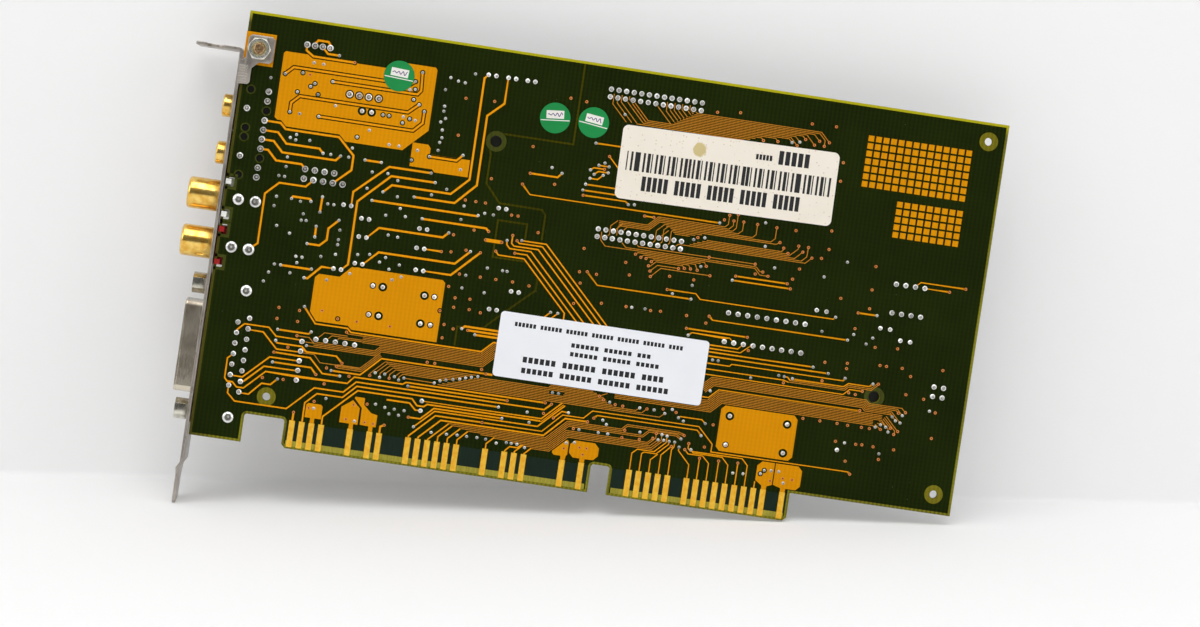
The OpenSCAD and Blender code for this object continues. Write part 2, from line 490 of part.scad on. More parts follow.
game_port_tracks = [
    [[-17.7, 28.8], [-15.9, 30.6], [-9.5, 30.6], [-7.4, 28.6], [-0.5, 28.6]],
    [[-14.8, 29.2], [-10.8, 29.2], [-6.8, 25.3], [-0.5, 25.3]],
    [[-17.7, 22.3], [-19, 21.2], [-19, 16], [-18.3, 15.2], [-16.9, 15.2], [-15.6, 14], [-13.8, 14],
        [-8.7, 19.1], [12.7, 19.1], [14.3, 21], [27, 21], [27.8, 21.6], [64.5, 21.6]],
    [[-17.7, 16.8], [-14.5, 16.8], [-8.2, 23], [-0.5, 23]],
    [[-14.8, 15.4], [-13.9, 15.8], [-9.3, 20.4], [-0.5, 20.4]],
    [[-14.8, 12.6], [-12.3, 12.6], [-9.3, 15.9], [-7, 15.9], [-5.4, 17.6]],
    [[-17.7, 14], [-17.7, 12.2], [-15.6, 10.3], [-2, 10.3], [4.4, 16.7], [12, 16.7], [15, 19.8],
        [64.5, 19.8], [66.2, 21.5]],
    [[2.54, 7.45], [2.54, 12.5], [5.3, 15.3], [12, 15.3], [15.3, 18.7], [52.6, 18.7]],
    [[7.62, 7.45], [7.62, 9.6], [15.7, 17.6], [30, 17.6], [31.5, 16], [33.3, 16], [34.1, 16.7],
        [64, 16.7]],
    [[23.4, 16.4], [29.5, 16.4], [31.2, 14.8], [32.6, 14.8]],
    [[-7.2, 30.4], [0.9, 30.4], [1.5, 31]],
    [[-7.3, 27.4], [-6.8, 26.9], [-0.3, 26.9], [1, 25.7], [8.9, 25.7], [10.6, 24.1]],
    [[-7.3, 24.4], [2.2, 24.3], [5.9, 20.7], [10.5, 20.7]],
    [[-7.3, 21.8], [2.8, 21.8], [4.3, 20.2]],
    [[8.1, 21.8], [15.7, 21.8], [20.6, 26.8], [49.8, 26.8]],
    [[28.4, 20.7], [54.6, 20.7]],
    [[29.7, 12.7], [32.8, 12.7], [36, 15.9], [53.9, 15.9]]];
slot_tracks = [
    [[30.48, 7.45], [30.48, 7.9], [36.68, 14.1], [64.7, 14.1], [69.5, 19.1], [75, 19.1], [77.1, 21.3],
        [105.3, 21.3], [109.4, 17.2], [109.4, 15.2], [145.8, 15.2], [146.4, 14.7]],
    [[33.02, 7.45], [33.02, 7.9], [38.22, 13.1], [65.3, 13.1], [70.3, 18.3], [76.2, 18.3]],
    [[77.7, 19.5], [78.5, 20.3], [105, 20.3], [106.2, 19]],
    [[0, 7.45], [0, 9.6]], [[22.86, 7.45], [22.86, 9.2], [23.8, 9.7]],
    [[40.1, 37.6], [40.8, 38.3], [50, 38.3]], [[41.7, 37.4], [50, 37.4]],
    [[43.7, 36.5], [50, 36.5]], [[67.6, 90.6], [74.8, 90.6]], [[66.5, 79.6], [74.6, 79.6]],
    [[66, 78], [74.9, 78]], [[66.3, 76.7], [77.5, 76.7], [78.3, 76]]];
thin_tracks = [
    [[52.2, 62.6], [58.7, 62.6], [77.6, 43.7]],
    [[51, 62.4], [51.6, 61.8], [57.8, 61.8], [75.9, 43.7]],
    [[49.7, 63.6], [49.7, 61.5], [50.4, 60.9], [56.8, 60.9], [74, 43.7]],
    [[48.4, 62.1], [48.5, 61], [49.4, 60.1], [55, 60.1], [71.4, 43.7]],
    [[50.9, 59.1], [54.1, 59.1], [69.5, 43.7]],
    [[45.9, 58.9], [46.7, 58], [53.5, 58], [66, 45.5], [66, 43.7]],
    [[62.4, 45.2], [60.9, 43.7]], [[64.3, 45.2], [62.8, 43.7]], [[71.6, 87.7], [74.8, 84.5]],
    [[69.2, 85], [71.9, 85]], [[67.2, 83.5], [68, 84.2], [70.8, 84.2]],
    [[68.3, 82.5], [69.3, 83.4], [71.9, 83.4]], [[67.4, 81.3], [69.4, 81.3], [70.7, 82.6]],
    [[104.8, 36.6], [125.4, 36.6], [126.9, 36.2]], [[125.5, 37.5], [126.4, 37.5], [127.2, 36.7]],
    [[104.8, 35.15], [141.5, 35.15], [143, 36.7], [146.4, 36.7]],
    [[33.4, 17.35], [64.1, 17.35], [69, 22.25]], [[34.2, 16.6], [64.2, 16.6], [69.4, 21.8]],
    [[31.4, 10.4], [36.3, 15.2], [63.4, 15.2], [69.8, 21.6]],
    [[35.56, 7.45], [35.56, 7.7], [40.4, 12.54]], [[38.1, 7.45], [38.1, 8.8], [41.4, 12.1]],
    [[40.64, 7.45], [40.64, 8.7], [43.6, 11.7]], [[43.18, 7.45], [43.18, 8.7], [45.6, 11.2]],
    [[50.8, 7.45], [50.8, 8.8], [52.7, 10.7]],
    [[55.88, 7.45], [55.88, 7.7], [57, 8.9], [59, 8.9], [60, 9.8]],
    [[58.42, 7.45], [58.42, 7.8], [60.4, 9.8]], [[60.96, 7.45], [60.96, 7.6], [62.6, 9.3]],
    [[88.9, 7.45], [88.9, 11.9], [90.2, 13.1], [94.6, 13.1], [97.4, 15.9], [97.4, 17.6]],
    [[91.44, 7.45], [91.44, 12.1], [92, 12.6], [95.2, 12.6], [98.1, 15.5], [98.1, 16.3]],
    [[93.98, 7.45], [93.98, 10.9], [95.7, 12.6]], [[96.52, 7.45], [96.52, 12.5], [98.9, 15.1]],
    [[99.06, 7.45], [99.06, 14.3], [99.6, 15], [99.6, 16.3]],
    [[104.14, 7.45], [104.14, 11], [100.9, 14.3], [100.9, 15.2]],
    [[103.3, 16.5], [103.3, 15.3], [104, 14.6], [117.8, 14.6], [119.38, 13], [119.38, 7.45]],
    [[102.5, 14.8], [103.5, 13.8], [107.4, 13.8], [109.22, 12.1], [109.22, 7.45]],
    [[104.1, 15], [104.8, 14.2], [112.5, 14.2], [114.3, 12.4], [114.3, 7.45]],
    [[106.68, 7.45], [106.68, 13.1]], [[111.76, 7.45], [111.76, 13.1]],
    [[116.84, 7.45], [116.84, 13.3]], [[121.92, 7.45], [121.92, 9.3]],
    [[99.6, 22.8], [100, 23.2], [105.8, 23.2], [106.8, 22.3]], [[83, 73.7], [85.4, 73.7]],
    [[67.2, 18], [69.2, 20], [70.9, 19.9]]];
wide_track = [[42.8, 61.4], [47.1, 61.4]];
thin_w = 0.35;
// Every place where a track can end is a round pad or a small hole
module pad_rings() {
    at(pins) circle(d = pad_d);
    at(big_pins) circle(d = big_pad_d);
}
module ordinary_tracks() {
    tracks(inner_tracks, track_w);
    tracks(audio_tracks, track_w);
    tracks(processor_tracks, track_w);
    tracks(game_port_tracks, track_w);
    tracks(slot_tracks, track_w);
    tracks(thin_tracks, thin_w);
    track(wide_track, 1);
    pad_rings();
}
// The free ends of tracks, each on a small hole
tinned_ends = [[-1.7, 103.1], [-2.2, 77.4], [2.4, 77.4], [27.7, 74.2], [14.6, 69.8], [22.8, 69.7],
    [12.1, 67.2], [40, 67.4], [25.7, 64.4], [33.1, 61.8], [39.4, 57.8], [8.8, 77.3], [13.1, 77.3],
    [-8.6, 64.6], [-3.5, 64.6], [-0.7, 66.2], [-0.8, 62.2], [-1.2, 58.4], [-1.2, 55.6],
    [4.4, 60.8], [-2.9, 53.6], [-8.9, 47.1], [-0.8, 47.2], [-2.4, 44.7], [-1.2, 37.3], [60, 81.5],
    [102.7, 74.8], [98.2, 54], [136.5, 54.9], [140.5, 49.4], [98.9, 44.6], [108.2, 60.5],
    [132.6, 41.1], [136.8, 40], [141.4, 39.4], [127.7, 37.3], [148.9, 39], [147.2, 56.9],
    [-5.4, 17.6], [-7.2, 30.4], [1.5, 31], [-7.3, 27.5], [10.5, 20.7], [-7.3, 21.8], [8.1, 21.8],
    [28.4, 20.7], [52.6, 18.7], [53.9, 15.9], [0.8, 27.3], [106.2, 19], [40.1, 37.6],
    [43.7, 36.5], [67.6, 90.6], [66.5, 79.6], [66, 78], [78.3, 76], [52.2, 62.6], [48.4, 62.1],
    [62.4, 45.2], [64.3, 45.2], [69.2, 85], [71.9, 85], [67.2, 83.5], [68.3, 82.5], [71.9, 83.4],
    [67.4, 81.3], [70.7, 82.6], [125.5, 37.5], [31.4, 10.4], [97.4, 17.6], [98.1, 16.3],
    [99.6, 16.3], [100.9, 15.2], [104.1, 15], [99.6, 22.8], [106.8, 22.3], [70.9, 19.9],
    [89.2, 23.9], [95.9, 23.4], [95.2, 16.3], [96, 17.8], [96.7, 16.4], [157.8, 31.9],
    [157.5, 29.9], [156.2, 30.3], [155.2, 31.2], [154.7, 27.1], [153.9, 28.3], [152.5, 28.7],
    [151.2, 27.9], [101.1, 17.4], [35.1, 22.5]];
masked_ends = [[2.5, 101.9], [43.3, 63.7], [42, 57.9], [31.9, 56.7], [51.8, 80.3], [50.2, 77.2],
    [70.3, 57.1], [91.7, 55.6], [103.6, 50.3], [98.2, 46.3], [114.3, 46.3], [108.9, 61.7],
    [122.6, 61.7], [123.6, 60.5], [142.2, 56.9], [169.3, 67.2], [165.2, 65.8], [146.5, 31.6],
    [64.5, 21.6], [66.2, 21.5], [29.7, 12.7], [54.6, 20.7], [-7.3, 24.4], [10.6, 24.1],
    [4.3, 20.2], [48.1, 26.8], [46.8, 27.8], [146.4, 14.7], [76.2, 18.3], [77.7, 19.5], [0, 9.6],
    [23.8, 9.7], [41.7, 37.4], [66.3, 76.7], [51, 62.4], [49.7, 63.6], [50.9, 59.1], [45.9, 58.9],
    [42.8, 61.4], [47.1, 61.4], [71.6, 87.7], [70.8, 84.2], [146.4, 36.7], [98.9, 15.1],
    [103.3, 16.5], [102.5, 14.8], [106.68, 13.1], [111.76, 13.1], [116.84, 13.3], [83, 73.7],
    [85.4, 73.7], [128, 99.8], [126.8, 98.7], [125.4, 99.8], [124.2, 98.6], [121.7, 99.7],
    [119.7, 97.8], [114.6, 98.1], [110.8, 97.8], [105, 77.2], [106.3, 75.9], [107.2, 77.7],
    [108.9, 76], [112.6, 75.9], [117.7, 75.8], [119.1, 72.1], [120.3, 70.8], [121.6, 69.6],
    [124.1, 71.9], [125.4, 70.5], [126.7, 71.9], [128, 69.3], [115.8, 63.8], [117.3, 62.9],
    [100.9, 63.1], [98.7, 61.7], [96.9, 61.8], [95.3, 61.7], [82.1, 63.5], [83.6, 62.9],
    [85, 62.8], [86.5, 62.2], [85.9, 61], [86.8, 58.3], [102.2, 60.8], [86.5, 59.7],
    [93.8, 61.45], [113.5, 65.55], [10.6, 32.3], [-2, 29.5], [18.2, 22], [23.3, 22], [91.1, 23.9],
    [93.8, 16.5], [94.5, 17.9], [158.5, 32.8], [156.7, 32.4], [157.2, 27.6], [156.3, 26.7],
    [155.2, 28.2], [152.6, 27.5], [101.8, 18.4], [150.3, 39.2], [9.3, 23.1]];
module tinned_places() {
    at(concat(isolated_tinned, area_tinned, tinned_at, tinned_ends, inner_ends)) children();
}
module masked_places() {
    at(concat(isolated_masked, area_masked, masked_at, masked_ends)) children();
}
module all_vias() {
    tinned_places() circle(d = via_d);
    masked_places() circle(d = via_d);
}
module copper_tracks() {
    color([0.92, 0.6, 0.1]) on_back(copper_t) difference() {
        ordinary_tracks();
        all_vias();
    }
}

// Fine tracks run in bundles, each with one centre line, and in bands with ragged ends
module band(z, starts, ends) {
    for (i = [0:len(starts) - 1])
        track([[starts[i], z - i * fine_pitch], [ends[i], z - i * fine_pitch]], fine_w);
}
memory_fan = [
    [[70.4, 104], [70.4, 101.4], [74.6, 97.2]], [[71.5, 103.1], [71.5, 101.8], [76, 97.3]],
    [[72.5, 104], [72.5, 102.2], [77.3, 97.4]], [[73.5, 103.1], [79, 97.6]],
    [[74.5, 104], [74.5, 103.2], [79.6, 98]], [[75.5, 103.1], [80.2, 98.4]],
    [[81.5, 103.1], [86.2, 98.4]], [[84.5, 104], [84.5, 101.6], [86.9, 99.2]],
    [[85.5, 103.1], [85.5, 101.9], [87.8, 99.6]], [[86.5, 104], [86.5, 102.1], [88.6, 100]],
    [[87.5, 103.1], [87.5, 102.3], [89.4, 100.4]], [[88.5, 104], [88.5, 102.6], [90.2, 100.9]],
    [[89.5, 103.1], [91, 101.6]], [[90.5, 104], [90.5, 103], [91.6, 101.9]], [[91.5, 103.1], [92.6, 102.2]],
    [[125.6, 102.2], [128, 99.8]], [[124.1, 101.78], [125.2, 101.78], [126.8, 100.2], [126.8, 98.7]],
    [[122.6, 101.36], [123.8, 101.36], [125.4, 99.8]], [[121.1, 100.94], [121.9, 100.94], [124.2, 98.6]],
    [[119.6, 100.52], [120.9, 100.52], [121.7, 99.7]], [[118.1, 100.1], [119, 100.1], [120.3, 98.8]],
    [[116.6, 99.68], [117.8, 99.68], [119.7, 97.8]], [[115.1, 99.26], [117.4, 99.26], [118.3, 98.4]],
    [[113.6, 98.84], [113.9, 98.84], [114.6, 98.1]], [[109.6, 98.42], [110.2, 98.42], [110.8, 97.8]]];
lower_fan = [
    [[73.5, 66.6], [74.6, 67.6], [74.6, 69.9], [76.3, 71.5]], [[76.5, 67.6], [76.5, 69.8], [77.7, 71]],
    [[75.5, 68.6], [77.5, 70.6]], [[77.5, 68.6], [79, 70.2]],
    [[85.5, 66.6], [86.6, 67.7], [86.6, 70.4], [88.5, 72.3]], [[87.5, 66.6], [88.5, 67.7], [88.5, 70.9],
        [89.5, 71.9]], [[89.5, 66.6], [90.5, 67.7], [90.5, 70.7], [91.3, 71.5]],
    [[87.5, 68.6], [89.8, 70.9]], [[104.2, 74], [105, 74.8], [105, 77.2]],
    [[105.3, 73.58], [106.3, 74.6], [106.3, 75.9]], [[106.3, 73.16], [107.2, 74.1], [107.2, 77.7]],
    [[107.9, 72.74], [108.9, 73.7], [108.9, 76]], [[111.7, 72.32], [112.6, 73.2], [112.6, 75.9]],
    [[116.7, 71.9], [117.7, 72.9], [117.7, 75.8]], [[118.2, 71.5], [119.1, 72.1]],
    [[119.8, 69.8], [120.2, 70.2], [120.3, 70.8]], [[121, 69.4], [121.6, 69.6]],
    [[121.9, 68.96], [124.1, 71.1], [124.1, 71.9]], [[123, 68.54], [123.5, 68.54], [125.4, 70.5]],
    [[125.3, 68.12], [126.6, 69.4], [126.7, 71.9]], [[126.3, 67.6], [128, 69.3]],
    [[91.5, 66.6], [92.8, 67.7]], [[77.5, 66.6], [79.3, 64.85]], [[72.5, 68], [72.5, 65.9], [73.9, 64.43]],
    [[113.9, 64.85], [115, 63.8], [115.8, 63.8]], [[113.6, 64.43], [115.1, 62.9], [117.3, 62.9]],
    [[100.3, 64.01], [100.9, 63.1]], [[98, 63.17], [98.7, 61.7]], [[96.3, 62.75], [96.9, 61.8]],
    [[94.8, 62.33], [95.3, 61.7]], [[82.1, 63.5], [82.7, 64]], [[83.6, 62.9], [84.3, 63.6]],
    [[85, 62.8], [85.4, 63.2]], [[86.5, 62.2], [87, 62.7]], [[85.9, 61], [86.4, 61], [87.7, 62.3]],
    [[86.8, 58.3], [89.2, 60.8], [102.2, 60.8]], [[86.5, 59.7], [88.2, 61.45], [93.8, 61.45]],
    [[81.5, 66.6], [82.6, 65.55], [113.5, 65.55]]];
slot_fan = [
    [[10.6, 32.3], [11, 31.88], [15, 31.88]], [[3.5, 29.8], [5, 31.3], [11, 31.3]],
    [[5.5, 29.3], [7, 30.8], [15, 30.8]], [[8, 29.3], [8.9, 30.4], [15, 30.4]],
    [[-2, 29.5], [1.2, 29.5], [2.6, 28.2]], [[-0.5, 28.2], [2.6, 28.2]], [[0.8, 27.3], [2.6, 27.3]],
    [[-0.5, 25.3], [3.1, 25.3], [4.9, 23.4], [15.3, 23.4]],
    [[18.2, 22], [18.2, 22.6], [21.7, 26.1]], [[19.5, 22.9], [22.3, 25.7]],
    [[20.8, 21.9], [20.8, 23], [23.1, 25.3]], [[22, 22.9], [24, 24.9]],
    [[23.3, 22], [23.3, 23], [24.8, 24.5]], [[24.6, 22.6], [26.1, 24.1]],
    [[25.8, 21.9], [25.8, 22.7], [26.6, 23.5], [26.9, 23.5]], [[27.1, 22.6], [35.1, 22.5]],
    [[88.4, 23.2], [89.2, 23.9]], [[89.9, 22.7], [91.1, 23.9]], [[94.7, 22.3], [95.9, 23.4]],
    [[78.6, 25.6], [80.3, 26.4]], [[92, 15.24], [92.5, 15.24], [93.8, 16.5]],
    [[92, 14.82], [92.7, 14.82], [94.5, 16.6], [94.5, 17.9]], [[92, 14.4], [93.2, 14.4], [95.2, 16.3]],
    [[92, 13.98], [93.6, 13.98], [96, 16.3], [96, 17.8]], [[92, 13.56], [93.9, 13.56], [96.7, 16.4]],
    [[154.8, 33.8], [157.4, 33.8], [158.5, 32.8]], [[154.8, 33.4], [156.3, 33.4], [157.8, 31.9]],
    [[154.8, 32.96], [156, 32.96], [156.7, 32.4]], [[154.8, 32.54], [157.5, 29.9]],
    [[154.6, 32.1], [156.2, 30.3]], [[154.6, 31.7], [155.2, 31.2]], [[153.6, 31.16], [157.2, 27.6]],
    [[153.2, 30.74], [156.4, 27.6], [156.5, 26.8]], [[152.9, 30.32], [155.2, 28.2]],
    [[152.6, 29.9], [154.6, 27.9], [154.7, 27.1]], [[152, 29.48], [152.8, 29.4], [153.9, 28.3]],
    [[151.5, 29.06], [152.5, 28.7]], [[151, 28.64], [152.6, 27.5]], [[150.4, 28.22], [151.2, 27.9]]];
module fine_lines() {
    band(102.2, [92.6, 91.9, 91.2, 90.5, 89.8, 89.1, 88.4, 87.7, 87],
        [125.6, 124.1, 122.6, 121.1, 119.6, 118.1, 116.6, 115.1, 113.6]);
    band(98.42, [80.2, 79.6, 79, 77.3], [109.6, 108.6, 107.3, 105.8]);
    bundle([[76.6, 70.85], [84.3, 70.85], [86.9, 73.37], [103.5, 73.37]], 4);
    band(72.32, [88.5, 89, 90.2, 90.6, 91, 91.5], [111.7, 116.7, 118.2, 98.6, 96.8, 95.4]);
    band(74, [86.4, 87, 87.4, 88], [104.2, 105.3, 106.3, 107.9]);
    band(69.8, [100, 98.9, 97.6, 96.6, 95.8, 92.8], [119.8, 121, 121.9, 123, 125.3, 126.3]);
    band(64.85, [79.3, 73.9, 82.6, 84.3, 85.4, 87, 87.7], [113.9, 113.6, 100.3, 99.3, 98, 96.3, 94.8]);
    bundle([[15, 31.04], [45.9, 31.04], [49.8, 34.94]], 5);
    bundle([[2.6, 27.9], [18.8, 27.9], [20.05, 29.15], [46.68, 29.15], [49.9, 32.37]], 4);
    bundle([[9.4, 23.1], [15.6, 23.1], [20.2, 27.7]], 3);
    band(26.1, [21.7, 22.3, 23.1, 24, 24.8, 26.1, 26.9], [45.6, 44.4, 43.4, 42, 40.8, 39.4, 37.6]);
    band(25.6, [46.8, 45.2, 43.8, 42.4, 41.1, 39.8, 38.5, 37.2, 36],
        [78.6, 79.4, 65.1, 65.1, 80.6, 82, 88.4, 89.9, 94.7]);
    band(26.4, [65.2, 64.9], [76.5, 77.5]);
    band(24.76, [69.2, 68.9], [80, 80.3]);
    bundle([[82.2, 26.15], [107.4, 26.15], [110.1, 28.85], [150.4, 28.85]], 4);
    bundle([[104.4, 27.83], [106.7, 27.83], [109.4, 30.53], [152.6, 30.53]], 4);
    bundle([[104.8, 31.2], [107.15, 33.55], [147.4, 33.55], [148.2, 32.75], [154.8, 32.75]], 6);
    bundle([[127, 36.5], [141.6, 36.5], [142.6, 37.5], [148.6, 37.5], [150.3, 39.2]], 2);
    band(12.58, [40.4, 41.4, 43.7, 45.6, 49, 52.7, 57.5, 60.3, 62.6], [for (i = [0:8]) 63]);
    bundle([[63, 12.37], [65.98, 12.37], [71.1, 17.49], [85.3, 17.49], [86.7, 18.89], [100.2, 18.89],
        [101.8, 18.5]], 2);
    bundle([[63, 11.53], [66.33, 11.53], [71.45, 16.65], [91, 16.65], [92.55, 18.2], [99.8, 18.2],
        [101.1, 17.4]], 2);
    bundle([[63, 10.06], [67, 10.06], [71.34, 14.4], [92, 14.4]], 5);
    tracks(memory_fan, fine_w);
    tracks(lower_fan, fine_w);
    tracks(slot_fan, fine_w);
}
module fine_tracks() {
    color([0.62, 0.4, 0.12]) on_back(copper_t) difference() {
        fine_lines();
        ordinary_tracks();
        all_vias();
    }
}
// A masked hole is an open ring of copper, a tinned one is filled with a low drop of solder
via_open_d = 0.32;
tinned_h = 0.2;
module plated_holes() {
    color([0.78, 0.6, 0.4]) on_back(copper_t) masked_places() difference() {
        circle(d = via_d);
        circle(d = via_open_d);
    }
}
module tinned_holes() {
    color([0.8, 0.8, 0.78]) on_back(copper_t) tinned_places() circle(d = via_d);
    color([0.8, 0.8, 0.78]) for (p = concat(isolated_tinned, area_tinned, tinned_at, tinned_ends,
        inner_ends)) put(p, back_y - copper_t) rotate([90, 0, 0])
            cylinder(h = tinned_h - copper_t, d1 = via_d, d2 = via_d * 0.5);
}

// A solder joint is a low cone round the cut end of its lead
module joint(w) {
    rotate([90, 0, 0]) {
        cylinder(h = joint_h * 0.55, d1 = w * 0.94, d2 = w * 0.5);
        translate([0, 0, joint_h * 0.55]) cylinder(h = joint_h * 0.45, d1 = w * 0.5, d2 = w * 0.34);
    }
}
module solder_joints() {
    color([0.8, 0.8, 0.78]) {
        for (p = pins) put(p, back_y - copper_t) joint(pad_d);
        for (p = big_pins) put(p, back_y - copper_t) joint(big_pad_d);
    }
}

// Gold-plated contacts on both faces of the tongue
contacts_used = [0, 1, 2, 3, 6, 8, 9, 12, 13, 14, 15, 16, 17, 20, 22, 23, 24, 28, 30];
short_used = [1, 2, 3, 4, 5, 7, 8, 9, 10, 11, 12, 13, 14, 15, 17];
module contact() {
    translate([-contact_w / 2, contact_rise]) square([contact_w, contact_h]);
}
module solder_contacts() {
    color([0.94, 0.74, 0.18]) on_back(copper_t) {
        for (i = contacts_used) translate([i * contact_pitch, 0]) contact();
        for (i = short_used) translate([short_start + i * contact_pitch, 0]) contact();
    }
}
module component_contacts() {
    color([0.94, 0.74, 0.18]) on_front(copper_t) {
        for (i = [0:contacts_long - 1]) translate([i * contact_pitch, 0]) contact();
        for (i = [0:contacts_short - 1]) translate([short_start + i * contact_pitch, 0]) contact();
    }
}

// The bracket is one stamped and folded steel sheet: plate, tab, narrow tip and an ear
// that lies on the solder side under a nut
tip_z = tab_top - bracket_h;
joggle_z = tip_z + tip_h;
joggle_h = 1.6;
bend_r = 1.2;
fold_r = bend_r - bracket_t;
ear_reach = 7.4;
ear_h = 7;
neck_h = 6;
neck_reach = 3.6;
// Seen from the side: a square corner, rounded outside, with a small fillet inside the fold
module bracket_side() {
    difference() {
        polygon([[plate_x, joggle_z + joggle_h], [plate_x, tab_top], [plate_out_x - tab_len, tab_top],
            [plate_out_x - tab_len, tab_top - bracket_t], [plate_out_x, tab_top - bracket_t],
            [plate_out_x, joggle_z + joggle_h], [plate_out_x - tip_offset, joggle_z],
            [plate_out_x - tip_offset, tip_z], [plate_x - tip_offset, tip_z],
            [plate_x - tip_offset, joggle_z]]);
        difference() {
            translate([plate_x - bend_r, tab_top - bend_r]) square(bend_r + 0.1);
            translate([plate_x - bend_r, tab_top - bend_r]) circle(bend_r);
        }
    }
    difference() {
        translate([plate_out_x - fold_r, tab_top - bend_r]) square(fold_r + 0.1);
        translate([plate_out_x - fold_r, tab_top - bend_r]) circle(fold_r);
    }
}
jack_hole_d = ferrule_d + 0.4;
phono_neck_d = phono_d - 0.6;
phono_hole_d = phono_neck_d + 0.3;
port_hole_gap = 0.6;
lock_hole_d = 3.2;
module bracket_front() {
    difference() {
        translate([bracket_y, joggle_z]) square([bracket_w, tab_top - joggle_z]);
        for (z = jack_rows) translate([port_y, z]) circle(d = jack_hole_d);
        for (z = phono_rows) translate([port_y, z]) circle(d = phono_hole_d);
        translate([port_y, port_z]) port_profile(port_hole_gap);
        for (s = [-1, 1]) translate([port_y, port_z + s * jackscrew_span / 2]) circle(d = lock_hole_d);
    }
    tip_side = (bracket_w - tip_w) / 2;
    shoulder = 2.4;
    polygon([[bracket_y + tip_side, tip_z + 1], [bracket_y + tip_side + 1, tip_z],
        [bracket_y + tip_side + tip_w - 1, tip_z], [bracket_y + tip_side + tip_w, tip_z + 1],
        [bracket_y + tip_side + tip_w, joggle_z - shoulder], [bracket_y + bracket_w, joggle_z],
        [bracket_y, joggle_z], [bracket_y + tip_side, joggle_z - shoulder]]);
}
// The D shape of the game port, wider on the side away from the solder face
module port_profile(grow) {
    r = 2.2;
    half = port_len / 2 + grow;
    deep = port_deep / 2 + grow;
    slant = 0.8;
    difference() {
        rounded(2 * deep, 2 * half, r);
        for (s = [-1, 1]) translate([0, s * half]) rotate(s * 5.5)
            translate([-deep - 2, s > 0 ? -slant / 2 : -4 + slant / 2]) square([2 * deep + 4, 4]);
    }
}
module ear() {
    x0 = plate_out_x;
    neck = plate_x + neck_reach - bracket_t;
    left = screw_at[0] - ear_h / 2 + 0.3;
    right = screw_at[0] + ear_h / 2 + 0.3;
    low = screw_at[1] - ear_h / 2;
    top = screw_at[1] + ear_h / 2;
    polygon([[x0, low - neck_h], [neck - 0.6, low - neck_h], [neck, low - neck_h + 0.6],
        [neck, low - 1.7], [neck + 1.7, low], [right - 0.8, low], [right, low + 0.8],
        [right, top - 0.8], [right - 0.8, top], [left + 0.8, top], [left, top - 0.8],
        [left, low + 1], [left - 0.8, low + 0.2], [x0, low + 0.2]]);
}
notch_from_plate = 6.4;
module bracket() {
    color([0.66, 0.65, 0.62]) {
        difference() {
            intersection() {
                translate([-contact_span / 2, bracket_y + bracket_w, 0]) rotate([90, 0, 0])
                    linear_extrude(bracket_w) bracket_side();
                translate([plate_out_x - tab_len - contact_span / 2 - 1, 0, 0]) rotate([90, 0, 90])
                    linear_extrude(tab_len + 4) bracket_front();
            }
            translate([plate_out_x - notch_from_plate - contact_span / 2, bracket_y + 3.6,
                tab_top - 2]) {
                cylinder(d = tab_notch_w, h = 4);
                translate([-tab_notch_w / 2, -6, 0]) cube([tab_notch_w, 6, 4]);
            }
        }
        difference() {
            on_back(bracket_t, copper_t) ear();
            put(screw_at, back_y + 1) rotate([90, 0, 0]) cylinder(d = screw_d + 0.2, h = 4);
        }
    }
}

// The bracket's screw: a pan head on the component side, its end through the nut
nut_h = 2.3;
screw_end = 0.8;
head_d = 5.6;
head_h = 2;
module bracket_screw() {
    tip_y = bracket_y - nut_h - screw_end;
    color([0.78, 0.7, 0.55]) difference() {
        put(screw_at, front_y) rotate([90, 0, 0]) union() {
            cylinder(d = screw_d - 0.05, h = front_y - tip_y - 0.3);
            translate([0, 0, front_y - tip_y - 0.3]) cylinder(d1 = screw_d - 0.05, d2 = 2.3, h = 0.3);
            translate([0, 0, -head_h]) cylinder(d1 = head_d - 1, d2 = head_d, h = 0.6);
            translate([0, 0, -head_h + 0.6]) cylinder(d = head_d, h = head_h - 0.6);
        }
        put(screw_at, front_y + head_h) for (a = [0, 90]) rotate([90, a, 0])
            translate([-1.5, -0.3, -1]) cube([3, 0.6, 2.1]);
    }
}
module bracket_nut() {
    color([0.8, 0.79, 0.75]) put(screw_at, bracket_y) rotate([90, 0, 0]) difference() {
        intersection() {
            cylinder(d = nut_af / cos(30), h = nut_h, $fn = 6);
            union() {
                cylinder(d = nut_af / cos(30) + 0.01, h = nut_h - 0.5);
                translate([0, 0, nut_h - 0.5])
                    cylinder(d1 = nut_af / cos(30) + 0.01, d2 = nut_af - 0.1, h = 0.5);
            }
        }
        translate([0, 0, -1]) cylinder(d = screw_d, h = nut_h + 2);
    }
}

// Headphone jacks: a moulded body with a gold ferrule pressed into its nose
jack_back = 12.2;
jack_side = 12;
jack_gap = 0.1;
jack_floor = front_y + 0.05;
ferrule_bore_d = jack_bore_d + 1.4;
module along_port(z, x = 0) {
    translate([plate_out_x + x - contact_span / 2, port_y, z]) rotate([0, 90, 0]) children();
}
module headphone_jacks() {
    top_y = port_y + 6.2;
    color([0.1, 0.1, 0.11]) for (z = jack_rows) difference() {
        union() {
            translate([plate_x + jack_gap - contact_span / 2, jack_floor, z - jack_side / 2])
                cube([jack_back, top_y - jack_floor, jack_side]);
            for (p = jack_pegs) if (abs(p[1] - z) < jack_side / 2)
                put(p, front_y + 0.1) rotate([90, 0, 0]) cylinder(d = peg_d - 0.3, h = board_t + 0.1);
        }
        along_port(z, -0.1) cylinder(d = jack_bore_d + 1, h = jack_back + bracket_t - 0.6);
        along_port(z, -0.1) cylinder(d = ferrule_bore_d + 0.6, h = bracket_t + 2.6);
        for (s = [-1, 1]) translate([plate_x + 5 - contact_span / 2, top_y - 1.6, z + s * 3.4 - 0.9])
            cube([jack_back, 2, 1.8]);
    }
}
